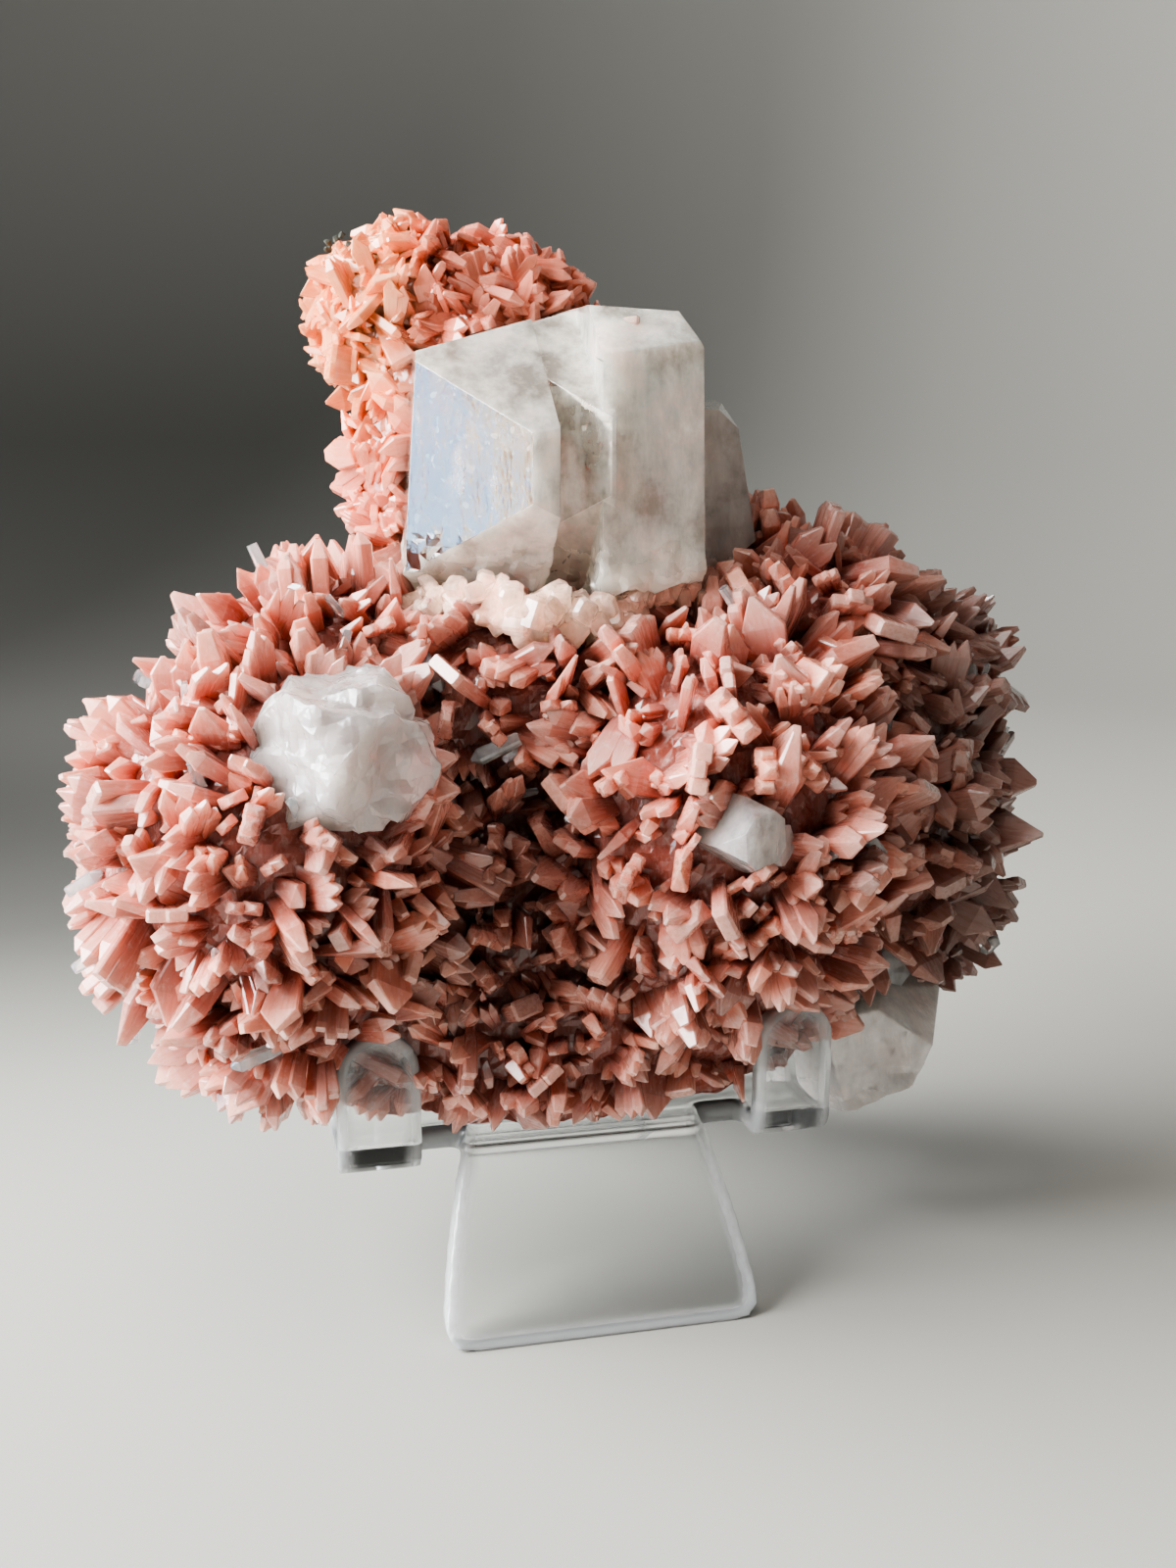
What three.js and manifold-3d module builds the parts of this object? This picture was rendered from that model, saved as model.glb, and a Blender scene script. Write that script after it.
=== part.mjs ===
// Apophyllite cluster: clear apophyllite crystals grown on a druse of pink stilbite, which sits on a
// thin plate of basalt and rests in a one-piece display stand bent from clear 3 mm sheet.
// Millimetres, +Z up, the front looks toward -Y, the stand's feet rest at Z = 0.

import * as THREE from 'three';
import { mergeVertices } from 'three/addons/utils/BufferGeometryUtils.js';
import { ConvexGeometry } from 'three/addons/geometries/ConvexGeometry.js';
import Module from 'manifold-3d';

// Driving dimensions of the stand
const SHEET = 3;
const STAND_X = 1.0;
const LEDGE_WIDTH = 62;
const LEDGE_TOP = 22.4;
const HOOK_WIDTH = 10;
const HOOK_TOP = 37.6;
const HOOK_Y = 9.3;
const TONGUE_WIDTH = 29;
const FOOT_WIDTH = 39;
const TONGUE_ANGLE = 61;
const LEAN = 25;
const REST_TOP = 80;
const REST_WIDTH = 44;
const SHOULDER_TOP = 46;
const REAR_FOOT_Y = 68;
const BEND_RADIUS = 2.4;
const BEND_STEPS = 4;
const REST_Y = 20;
const TOE_Y = -0.4;
const FOOT_CORNER = 3;
const TONGUE_BELL = 1.2;
const TONGUE_WAIST = 0.52;
const SHOULDER_START = 5;
const SHOULDER_CURVE = 14;

// Y where the ledge's front half ends and its back half starts, which overlap to join
const FRONT_HALF_END = 17;
const BACK_HALF_START = 14.5;

// Y that is behind the rest's shoulders and in front of the rear leg below them
const REAR_LEG_START = 42;

// Driving dimensions of the specimen
const GAP = 0.3;
const PLATE_THICKNESS = 6.6;
const BLADE_SPACING = 10.7;
const BLADE_LENGTH = 8.4;
const BLADE_WIDTH = 7.6;
const BLADE_THICKNESS = 4.8;
const BLADE_SPREAD = 0.42;
const BLADE_VARIETY = 0.4;
const SHORTER_BLADES = [1, 0.7, 0.45];
const STAND_MARGIN = 2.5;
const CRYSTAL_MARGIN = 1.5;
const BACK_MARGIN = 2;

// The large blades: their depth as a share of their width, and how far they twist, each its own way
const LARGE_BLADE_DEPTH = 0.62;
const LARGE_BLADE_TWIST = 0.4;
const LARGE_BLADE_TURN = 2.1;

// Swell of a lobe's faceted ball, whose flats lie inside its corners
const LOBE_SWELL = 1.02;

// The flats of the plate's broken back: their size, how far a corner strays, and the plate's
// thickness there, least and range, in parts of its full thickness
const BREAK_SIZE = 14;
const BREAK_STRAY = 0.6;
const THINNEST_BREAK = 0.5;
const BREAK_DEPTH = 0.65;

// The druse's back is flat in the middle, and its two wings sweep back at these slopes
const WING_START = 33;
const WING_END = 80;
const LEFT_WING = 0.68;
const RIGHT_WING = 0.64;

// Anything larger than the whole object, for tools that cut a half of space away
const BEYOND = 300;

const wasm = await Module();
wasm.setup();

const radians = THREE.MathUtils.degToRad;
const leanSlope = Math.tan(radians(LEAN));
const ledgeMid = LEDGE_TOP - SHEET / 2;
const restFoot = REST_Y + SHEET / 2 / Math.cos(radians(LEAN));

// Y of the back rest's front face at a height
function restFace(z) {
  return REST_Y + (z - LEDGE_TOP) * leanSlope;
}

// A repeatable number from 0 to 1 for a lobe, a blade and one of its choices
function chance(lobe, blade, choice) {
  const x = Math.sin(lobe * 12.9 + blade * 31.17 + choice * 7.47) * 4375.85;
  return x - Math.floor(x);
}

// Solids: three.js geometry in, three.js geometry out, joined and cut in between
function solid(geometry) {
  const bare = geometry.clone();
  bare.deleteAttribute('normal');
  bare.deleteAttribute('uv');
  const merged = mergeVertices(bare, 1e-5);
  const vertProperties = new Float32Array(merged.attributes.position.array);
  const triVerts = new Uint32Array(merged.index.array);
  return new wasm.Manifold(new wasm.Mesh({ numProp: 3, vertProperties, triVerts }));
}

function geometryOf(manifold) {
  const mesh = manifold.getMesh();
  const geometry = new THREE.BufferGeometry();
  geometry.setAttribute('position', new THREE.BufferAttribute(mesh.vertProperties, 3));
  geometry.setIndex(new THREE.BufferAttribute(mesh.triVerts, 1));
  geometry.computeVertexNormals();
  return geometry;
}

// Joins solids in pairs, then pairs of pairs, which keeps each join small
function joinAll(solids) {
  let row = solids;
  while (row.length > 1) {
    const next = [];
    for (let i = 0; i < row.length; i += 2) {
      next.push(i + 1 < row.length ? row[i].add(row[i + 1]) : row[i]);
    }
    row = next;
  }
  return row[0];
}

// The largest body of a solid, without the chips that a cut leaves loose
function largestBody(manifold) {
  const bodies = manifold.decompose();
  return bodies.reduce((a, b) => (a.volume() > b.volume() ? a : b));
}

// Clear crystals

// The convex crystal bounded by flat faces, each a unit normal and its distance from the origin
function crystalGeometry(faces, grow = 0) {
  const planes = faces.map(({ normal, distance }) => new THREE.Plane(normal, -(distance + grow)));
  const corners = [];
  const rows = new THREE.Matrix3();
  for (let i = 0; i < planes.length; i += 1) {
    for (let j = i + 1; j < planes.length; j += 1) {
      for (let k = j + 1; k < planes.length; k += 1) {
        const [a, b, c] = [planes[i].normal, planes[j].normal, planes[k].normal];
        rows.set(a.x, a.y, a.z, b.x, b.y, b.z, c.x, c.y, c.z);
        if (Math.abs(rows.determinant()) < 1e-3) continue;
        const far = new THREE.Vector3(-planes[i].constant, -planes[j].constant, -planes[k].constant);
        const corner = far.applyMatrix3(rows.clone().invert());
        if (planes.every((plane) => plane.distanceToPoint(corner) < 1e-4)) corners.push(corner);
      }
    }
  }
  return new ConvexGeometry(corners);
}

// A face through a point, with the way it looks given in the stand's frame
function face(point, direction) {
  const normal = new THREE.Vector3(...direction).normalize();
  return { normal, distance: normal.dot(new THREE.Vector3(...point)) };
}

// Faces of a blocky apophyllite: a square prism with flat ends and its eight corners cut off
function blockFaces({ at, half, corner, turn = 0, lean = 0, roll = 0 }) {
  const centre = new THREE.Vector3(...at);
  const pose = new THREE.Euler(radians(lean), radians(roll), radians(turn), 'ZYX');
  const faces = [];
  const addFace = (direction, reach) => {
    const normal = direction.clone().normalize().applyEuler(pose);
    faces.push({ normal, distance: normal.dot(centre) + reach });
  };
  for (const side of [-1, 1]) {
    addFace(new THREE.Vector3(side, 0, 0), half[0]);
    addFace(new THREE.Vector3(0, side, 0), half[1]);
    addFace(new THREE.Vector3(0, 0, side), half[2]);
  }
  const cut = new THREE.Vector3(1 / half[0], 1 / half[1], 1 / half[2]);
  for (let octant = 0; octant < 8; octant += 1) {
    const signs = [octant & 1 ? 1 : -1, octant & 2 ? 1 : -1, octant & 4 ? 1 : -1];
    const direction = new THREE.Vector3(cut.x * signs[0], cut.y * signs[1], cut.z * signs[2]);
    addFace(direction, (3 * corner) / cut.length());
  }
  return faces;
}

// The large crystal is three individuals grown side by side in one direction. Each turns a bright
// pyramid face to the left and meets its neighbour at an upright step.
const PYRAMID_LEFT = [-0.69, -0.72, 0.0];
const PYRAMID_TOP = [-0.05, -0.62, 0.785];
const PYRAMID_BOTTOM = [-0.245, -0.714, -0.658];
const PLATE_SIDE = [0, 1, -leanSlope];
const LEFT_SIDE = [-1, 0.1, 0.07];

const mainIndividuals = [
  [
    face([-16.0, 22, 114.5], PYRAMID_LEFT),
    face([-5.7, 12.0, 106.8], PYRAMID_TOP),
    face([-5.8, 12.0, 98.8], PYRAMID_BOTTOM),
    face([-5.7, 11.9, 100], [0.12, -1, 0]),
    face([-18.0, 26, 100], LEFT_SIDE),
    face([-2.2, 30, 100], [1, 0, 0]),
    face([0, 43, 100], [0, 1, 0]),
    face([0, 38, 85.5], PLATE_SIDE),
    face([-11.3, 34, 117.7], [-0.28, 0, 1]),
    face([0, 30, 85.6], [-0.05, 0, -1]),
  ],
  [
    face([-2.1, 20, 112.9], PYRAMID_LEFT),
    face([4.2, 14.0, 108.6], PYRAMID_TOP),
    face([4.2, 14.0, 99.5], PYRAMID_BOTTOM),
    face([4.2, 13.9, 104], [0.12, -1, 0]),
    face([-18.0, 26, 100], LEFT_SIDE),
    face([4.9, 30, 100], [1, 0, 0]),
    face([0, 43, 100], [0, 1, 0]),
    face([0, 38, 85.5], PLATE_SIDE),
    face([1.9, 34, 121.0], [-0.28, 0, 1]),
    face([1.9, 34, 121.3], [0, 0, 1]),
    face([0, 30, 84.9], [0.02, 0, -1]),
  ],
  [
    face([4.6, 15.0, 104], [0.1, -1, 0.02]),
    face([16.2, 24, 104], [1, 0, 0.02]),
    face([3.4, 15.4, 104], [-1, 0, 0]),
    face([4.6, 16.0, 116.4], PYRAMID_TOP),
    face([15.6, 20, 118.4], [0.9, -0.2, 0.6]),
    face([0, 43, 100], [0, 1, 0]),
    face([0, 38, 85.5], PLATE_SIDE),
    face([0, 30, 121.8], [0.06, 0, 1]),
    face([0, 30, 87.3], [0.12, 0, -1]),
  ],
];

const clearCrystals = [
  { name: 'apophyllite_main', colour: 0xe9e7e0, individuals: mainIndividuals },
  {
    name: 'apophyllite_back',
    colour: 0xcdb9ae,
    individuals: [
      [
        face([22.4, 30, 108], [0.1, -1, 0.12]),
        face([25.4, 34, 107.5], [1, -0.12, 0.17]),
        face([23.4, 32, 109.4], [0.62, -0.3, 0.72]),
        face([20, 36, 110.2], [0, -0.1, 1]),
        face([25.8, 34, 91.4], [0.6, -0.1, -0.8]),
        face([20, 36, 88.6], [0, 0, -1]),
        face([15, 36, 100], [-1, 0, 0]),
        face([22, 43, 100], [0, 1, 0]),
        face([22, 37.5, 88.6], PLATE_SIDE),
      ],
    ],
  },
  {
    name: 'apophyllite_left',
    colour: 0xe6dedb,
    individuals: [
      blockFaces({ at: [-29.6, 3.0, 72.6], half: [6.2, 7.4, 6.6], corner: 0.74, turn: 34, lean: 12 }),
      blockFaces({ at: [-24.6, 4.0, 71.2], half: [4.4, 6.4, 5.4], corner: 0.74, turn: 12, roll: 14 }),
      blockFaces({ at: [-33.4, 4.0, 69.4], half: [4.0, 5.8, 4.4], corner: 0.72, turn: 52, lean: -10 }),
      blockFaces({ at: [-27.0, 5.0, 76.6], half: [4.2, 5.6, 3.8], corner: 0.74, turn: 20, roll: -16 }),
    ],
  },
  {
    name: 'apophyllite_small',
    colour: 0xe7dad7,
    individuals: [
      blockFaces({ at: [15.6, -1.4, 62.2], half: [3.2, 4.6, 3.4], corner: 0.76, turn: 24, roll: 38 }),
      blockFaces({ at: [18.2, -1.0, 61.0], half: [2.0, 3.6, 2.4], corner: 0.74, turn: 40, roll: 10 }),
    ],
  },
  {
    name: 'apophyllite_lower_right',
    colour: 0xdfe0dc,
    individuals: [
      [
        face([50.2, 26, 33.6], [0.42, -0.55, 0.72]),
        face([53.4, 26, 28.0], [0.86, -0.28, -0.42]),
        face([44.0, 17, 25.0], [-0.05, -1, 0.1]),
        face([41.0, 20, 18.6], [0.28, -0.2, -0.94]),
        face([35.4, 20, 24.0], [-0.92, -0.32, -0.2]),
        face([38.0, 20, 32.0], [-0.15, -0.25, 0.95]),
        face([55.4, 26, 31.9], [1, 0.1, 0.25]),
        face([STAND_X + LEDGE_WIDTH / 2 + 2 * GAP, 26, 26], [-1, 0, 0]),
        face([44, 33, 27], [0, 1, 0]),
      ],
    ],
  },
  {
    name: 'apophyllite_dome',
    colour: 0xa58f88,
    individuals: [
      blockFaces({ at: [44.8, 27.6, 36.2], half: [5.4, 5.2, 3.6], corner: 0.68, turn: 18, roll: -8 }),
    ],
  },
];

// The stilbite druse

// Round masses that the stilbite grew into: centre and three radii, with the size of their blades
const lobes = [
  { at: [-35, 20, 59], radii: [18, 19, 19], size: 1 },
  { at: [-34, 18, 45], radii: [13, 12, 12], size: 0.95 },
  { at: [-29, 30, 74], radii: [12, 14, 11], size: 1 },
  { at: [-6, 31, 72], radii: [24, 16, 14], size: 0.95 },
  { at: [-8, 22, 50], radii: [15, 11, 18], size: 0.9 },
  { at: [18, 20, 58], radii: [20, 19, 23], size: 1 },
  { at: [43, 34, 58], radii: [16, 15, 22], size: 1 },
  { at: [54, 40, 72], radii: [9, 9, 9], size: 0.85 },
  { at: [53, 36, 42], radii: [9, 8, 10], size: 0.85 },
  { at: [32, 35, 77], radii: [16, 15, 13], size: 1 },
  { at: [0, 19.5, 35.4], radii: [33, 9, 10.5], size: 0.85 },
  { at: [-8, 46, 98], radii: [12.5, 9, 24], size: 0.75 },
  { at: [-14, 52, 121], radii: [10.5, 10, 9.5], size: 0.7 },
  { at: [3, 51, 114], radii: [12, 8, 7], size: 0.7 },
  { at: [-3, 52, 121.5], radii: [9.5, 9, 7.5], size: 0.7 },
];

// Large blades that give the outline its points: root, tip and width
const largeBlades = [
  { root: [33, 40, 88], tip: [31, 40, 99.4], width: 3.6 },
  { root: [-32, 24, 84], tip: [-32.5, 26, 95.2], width: 4.2 },
  { root: [-28.6, 24, 84], tip: [-28.9, 26, 95.4], width: 4.4 },
  { root: [-23.4, 27, 85], tip: [-24.3, 28, 96.0], width: 3.6 },
  { root: [-40.5, 15, 77], tip: [-43, 12, 87], width: 5.6 },
  { root: [17.3, 19, 79], tip: [18.6, 20, 91.6], width: 6.0 },
  { root: [36.5, 30, 84], tip: [37.9, 30, 96.4], width: 5.4 },
  { root: [32.2, 27, 83], tip: [30.7, 28, 93.6], width: 4.2 },
  { root: [33, 10, 54], tip: [40.5, 4, 57.4], width: 4.0 },
  { root: [-50, 21, 57], tip: [-60.1, 22, 54.6], width: 4.6 },
  { root: [-47, 21, 66], tip: [-55.8, 22, 67.4], width: 4.4 },
  { root: [-30, 15, 38], tip: [-31.2, 13.6, 28.3], width: 4.8 },
  { root: [-1, 15.5, 34], tip: [-1.4, 13, 26.6], width: 4.0 },
  { root: [60, 40, 72], tip: [70.2, 42, 77.2], width: 5.0 },
  { root: [58, 38, 47], tip: [67.9, 38, 44], width: 5.0 },
  { root: [49, 39, 78], tip: [54.1, 42, 89], width: 5.4 },
  { root: [-48, 20, 50], tip: [-57.5, 20, 47.2], width: 4.4 },
  { root: [-42, 18, 44], tip: [-49.6, 16, 39.4], width: 5.0 },
  { root: [-8, 47, 119], tip: [-2.6, 50, 130.6], width: 3.8 },
  { root: [-11, 43, 112], tip: [-3, 42, 124.8], width: 4.4 },
  { root: [-16, 50, 127], tip: [-17.5, 51, 134.6], width: 5.4 },
  { root: [-19, 52, 125], tip: [-25.6, 54, 128.2], width: 5.0 },
  { root: [-18, 50, 117], tip: [-24.6, 50, 118.0], width: 4.4 },
  { root: [8, 48, 116], tip: [14.6, 47, 122.3], width: 4.0 },
];

// Plan line of the stilbite's back at the ledge's height, which leans back with the rest
const backLine = [
  [-WING_END, LEFT_WING * (WING_END - WING_START)], [-WING_START, 0],
  [WING_START, 0], [WING_END, RIGHT_WING * (WING_END - WING_START)],
];
const backLineY = restFace(LEDGE_TOP) - 2 * GAP - PLATE_THICKNESS;

// Front outline of the basalt plate, in X and Z
const plateOutline = [
  [-44, 42], [-50, 56], [-47, 74], [-36, 86], [-19, 92], [-16, 104], [-24, 116], [-27, 128],
  [-20, 131], [-8, 127], [10, 119], [15, 106], [22, 94], [42, 92], [56, 82], [60, 62], [54, 46],
  [40, 38], [22, 32], [-2, 29], [-28, 31],
];

const up = new THREE.Vector3(0, 0, 1);

// Four corners of a section of a blade one unit long
function bladeSection(halfWidth, halfThickness, height) {
  return [[-1, -1], [1, -1], [1, 1], [-1, 1]].map(
    ([x, y]) => new THREE.Vector3(halfWidth * x, halfThickness * y, height));
}

// A stilbite blade one unit long: narrow at its root, widest at its shoulder, with a chisel tip
const unitBlade = new ConvexGeometry([
  ...bladeSection(0.3, 0.34, -0.32),
  ...bladeSection(0.5, 0.5, 0.6),
  new THREE.Vector3(-0.2, 0, 0.97),
  new THREE.Vector3(0.16, 0, 1),
]);

function blade(root, axis, length, width, thickness, twist) {
  const aim = new THREE.Quaternion().setFromUnitVectors(up, axis);
  const spin = new THREE.Quaternion().setFromAxisAngle(up, twist);
  const scale = new THREE.Vector3(width, thickness, length);
  const place = new THREE.Matrix4().compose(root, aim.multiply(spin), scale);
  return solid(unitBlade.clone().applyMatrix4(place));
}

// How far a point lies inside a lobe: below 1 inside, 1 on its surface
function lobeDepth(point, { at, radii }) {
  const [x, y, z] = [point.x - at[0], point.y - at[1], point.z - at[2]];
  return Math.hypot(x / radii[0], y / radii[1], z / radii[2]);
}

// Y of the stilbite's back behind a point
function backFace(point) {
  const pastLeft = Math.max(0, -WING_START - point.x);
  const pastRight = Math.max(0, point.x - WING_START);
  const wing = pastLeft * LEFT_WING + pastRight * RIGHT_WING;
  return backLineY + wing + (point.z - LEDGE_TOP) * leanSlope;
}

// True where a blade would grow into a clear crystal
function meetsCrystal(point, margin) {
  return clearCrystals.some(({ individuals }) =>
    individuals.some((faces) =>
      faces.every(({ normal, distance }) => normal.dot(point) - distance < margin)));
}

// True in the space that the stand's hooks and ledge take up
function meetsStand(point) {
  const fromHook = Math.abs(Math.abs(point.x - STAND_X) - (LEDGE_WIDTH - HOOK_WIDTH) / 2);
  const beside = fromHook < HOOK_WIDTH / 2 + STAND_MARGIN;
  const atHook = beside && point.y < HOOK_Y + SHEET && point.z < HOOK_TOP + STAND_MARGIN;
  return atHook || point.z < LEDGE_TOP + GAP * 3;
}

// The surface of an ellipsoid, by the usual close formula
function ellipsoidArea(a, b, c) {
  const power = 1.6;
  const mean = ((a * b) ** power + (a * c) ** power + (b * c) ** power) / 3;
  return 4 * Math.PI * mean ** (1 / power);
}

// Between 1 - BLADE_VARIETY / 2 and 1 + BLADE_VARIETY / 2, for a blade's choice
function variety(index, i, choice) {
  return 1 + BLADE_VARIETY * (chance(index, i, choice) - 0.5);
}

// Blades spread evenly over a lobe, each leaning a little its own way
function lobeBlades(lobe, index) {
  const [a, b, c] = lobe.radii;
  const area = ellipsoidArea(a, b, c);
  const count = Math.round(area / (BLADE_SPACING * lobe.size) ** 2);
  const blades = [];
  for (let i = 0; i < count; i += 1) {
    const height = 1 - (2 * (i + 0.5)) / count;
    const around = i * Math.PI * (3 - Math.sqrt(5));
    const ring = Math.sqrt(1 - height * height);
    const unit = new THREE.Vector3(ring * Math.cos(around), ring * Math.sin(around), height);
    const root = new THREE.Vector3(a * unit.x, b * unit.y, c * unit.z).add(new THREE.Vector3(...lobe.at));
    const covered = lobes.some((other, j) => j !== index && lobeDepth(root, other) < 1);
    if (covered || meetsCrystal(root, CRYSTAL_MARGIN) || root.y > backFace(root) - BACK_MARGIN) continue;
    const stray = [1, 2, 3].map((k) => (chance(index, i, k) - 0.5) * 2 * BLADE_SPREAD);
    const axis = new THREE.Vector3(unit.x / a, unit.y / b, unit.z / c).normalize();
    axis.add(new THREE.Vector3(...stray)).normalize();
    const size = lobe.size * variety(index, i, 4);
    const width = BLADE_WIDTH * size * variety(index, i, 5);
    const twist = Math.PI * chance(index, i, 6);
    const lengths = SHORTER_BLADES.map((part) => part * BLADE_LENGTH * size);
    const length = lengths.find((reach) => !meetsStand(root.clone().addScaledVector(axis, reach)));
    if (!length) continue;
    blades.push(blade(root, axis, length, width, BLADE_THICKNESS * size, twist));
  }
  return blades;
}

function largeBlade({ root, tip, width }, index) {
  const start = new THREE.Vector3(...root);
  const axis = new THREE.Vector3(...tip).sub(start);
  const length = axis.length();
  const twist = LARGE_BLADE_TWIST * Math.sin(index * LARGE_BLADE_TURN);
  return blade(start, axis.normalize(), length, width, width * LARGE_BLADE_DEPTH, twist);
}

function ellipsoid({ at, radii }) {
  const geometry = new THREE.IcosahedronGeometry(LOBE_SWELL, 1);
  geometry.scale(...radii);
  geometry.translate(...at);
  return solid(geometry);
}

// A plan outline drawn at the ledge's height and carried up along the leaning back
function leaningPrism(plan) {
  const shape = new THREE.Shape(plan.map(([x, y]) => new THREE.Vector2(x, y)));
  const geometry = new THREE.ExtrudeGeometry(shape, { depth: BEYOND, bevelEnabled: false });
  geometry.translate(0, 0, -BEYOND / 2);
  const shear = new THREE.Matrix4().makeShear(0, 0, 0, 0, 0, leanSlope);
  geometry.applyMatrix4(shear);
  geometry.translate(0, 0, LEDGE_TOP);
  return solid(geometry);
}

function bandPlan(near, far) {
  const front = backLine.map(([x, y]) => [x, y + near]);
  const back = backLine.map(([x, y]) => [x, y + far]).reverse();
  return [...front, ...back];
}

function box(low, high) {
  const size = high.map((value, i) => value - low[i]);
  const geometry = new THREE.BoxGeometry(...size);
  geometry.translate(...low.map((value, i) => value + size[i] / 2));
  return solid(geometry);
}

// Space that the stand fills: in front of and under both hooks, and under the ledge's top
function standSpace() {
  const spaces = [box([-BEYOND, -BEYOND, -BEYOND], [BEYOND, BEYOND, LEDGE_TOP + GAP])];
  for (const side of [-1, 1]) {
    const middle = STAND_X + (side * (LEDGE_WIDTH - HOOK_WIDTH)) / 2;
    const reach = HOOK_WIDTH / 2 + 1;
    const low = [middle - reach, -BEYOND, -BEYOND];
    spaces.push(box(low, [middle + reach, HOOK_Y + SHEET / 2 + GAP, HOOK_TOP + 1]));
  }
  return joinAll(spaces);
}

// A solid with a socket for each of the clear crystals that grew into it
function withSockets(manifold, crystals) {
  return crystals.reduce((rest, { individuals }) =>
    rest.subtract(joinAll(individuals.map((faces) => solid(crystalGeometry(faces, GAP))))), manifold);
}

// A clear crystal, flattened where it grew against an earlier one
function clearCrystal({ individuals }, index) {
  const whole = joinAll(individuals.map((faces) => solid(crystalGeometry(faces))));
  return largestBody(withSockets(whole, clearCrystals.slice(0, index)));
}

function stilbiteDruse() {
  const masses = lobes.map(ellipsoid);
  const blades = lobes.flatMap(lobeBlades);
  let druse = joinAll([...masses, ...blades, ...largeBlades.map(largeBlade)]);
  druse = druse.subtract(leaningPrism(bandPlan(backLineY, BEYOND)));
  druse = druse.subtract(standSpace());
  return largestBody(withSockets(druse, clearCrystals));
}

// The space in front of the plate's broken back: flats about BREAK_SIZE wide, each corner at its
// own depth, so that the plate is nowhere thicker than PLATE_THICKNESS
function brokenBack() {
  const [width, height] = [2 * WING_END, 2 * WING_END];
  const [columns, rows] = [Math.round(width / BREAK_SIZE), Math.round(height / BREAK_SIZE)];
  const geometry = new THREE.BoxGeometry(width, BEYOND, height, columns, 1, rows);
  const places = geometry.attributes.position;
  for (let i = 0; i < places.count; i += 1) {
    if (places.getY(i) < 0) continue;
    const column = Math.round((places.getX(i) / width + 0.5) * columns);
    const row = Math.round((places.getZ(i) / height + 0.5) * rows);
    const stray = (choice) => (chance(column, row, choice) - 0.5) * BREAK_SIZE * BREAK_STRAY;
    const point = new THREE.Vector3(places.getX(i) + stray(1), 0, places.getZ(i) + WING_END + stray(2));
    const depth = Math.min(1, THINNEST_BREAK + BREAK_DEPTH * chance(column, row, 3));
    places.setXYZ(i, point.x, backFace(point) + GAP + depth * PLATE_THICKNESS, point.z - WING_END);
  }
  geometry.translate(0, 0, WING_END);
  return solid(geometry);
}

// Basalt plate behind the druse: a leaning slab with a broken outline and back
function basaltPlate() {
  const band = leaningPrism(bandPlan(backLineY + GAP, backLineY + GAP + PLATE_THICKNESS));
  const shape = new THREE.Shape(plateOutline.map(([x, z]) => new THREE.Vector2(x, z)));
  const outline = new THREE.ExtrudeGeometry(shape, { depth: BEYOND, bevelEnabled: false });
  outline.rotateX(Math.PI / 2);
  outline.translate(0, BEYOND / 2, 0);
  const plate = band.intersect(solid(outline)).intersect(brokenBack());
  return largestBody(withSockets(plate, clearCrystals));
}

// The display stand

// The middle line of a sheet along Y, Z points with rounded bends, and its direction at each point
function bentLine(line) {
  const points = line.map(([y, z]) => new THREE.Vector2(y, z));
  const toward = (from, to) => to.clone().sub(from).normalize();
  const last = points.length - 1;
  const middle = [{ point: points[0], along: toward(points[0], points[1]) }];
  for (let i = 1; i < last; i += 1) {
    const before = toward(points[i], points[i - 1]);
    const after = toward(points[i], points[i + 1]);
    const half = Math.acos(THREE.MathUtils.clamp(before.dot(after), -1, 1)) / 2;
    const run = BEND_RADIUS / Math.tan(half);
    const start = points[i].clone().addScaledVector(before, run);
    const end = points[i].clone().addScaledVector(after, run);
    const bend = new THREE.QuadraticBezierCurve(start, points[i], end);
    for (let step = 0; step <= BEND_STEPS; step += 1) {
      const t = step / BEND_STEPS;
      middle.push({ point: bend.getPoint(t), along: bend.getTangent(t) });
    }
  }
  middle.push({ point: points[last], along: toward(points[last - 1], points[last]) });
  return middle;
}

// A sheet that follows a line of Y, Z points, with its width along X
function bentSheet(line, width) {
  const middle = bentLine(line);
  const edge = (side) => middle.map(({ point, along }) =>
    point.clone().add(new THREE.Vector2(-along.y, along.x).multiplyScalar((side * SHEET) / 2)));
  const shape = new THREE.Shape([...edge(1), ...edge(-1).reverse()]);
  const geometry = new THREE.ExtrudeGeometry(shape, { depth: width, bevelEnabled: false });
  // The outline's first axis becomes Y, its second Z, and its depth X
  geometry.applyMatrix4(new THREE.Matrix4().makeBasis(
    new THREE.Vector3(0, 1, 0), new THREE.Vector3(0, 0, 1), new THREE.Vector3(1, 0, 0)));
  geometry.translate(STAND_X - width / 2, 0, 0);
  return solid(geometry);
}

// A front outline in X and Z, carried through the whole depth
function frontOutline(shape) {
  const geometry = new THREE.ExtrudeGeometry(shape, { depth: BEYOND, bevelEnabled: false, curveSegments: 6 });
  geometry.rotateX(Math.PI / 2);
  geometry.translate(STAND_X, BEYOND / 2, 0);
  return solid(geometry);
}

function hookOutline(side) {
  const middle = (side * (LEDGE_WIDTH - HOOK_WIDTH)) / 2;
  const radius = HOOK_WIDTH / 2;
  const shape = new THREE.Shape();
  shape.moveTo(middle - radius, LEDGE_TOP - SHEET);
  shape.lineTo(middle + radius, LEDGE_TOP - SHEET);
  shape.lineTo(middle + radius, HOOK_TOP - radius);
  shape.absarc(middle, HOOK_TOP - radius, radius, 0, Math.PI, false);
  shape.lineTo(middle - radius, LEDGE_TOP - SHEET);
  return shape;
}

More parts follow.
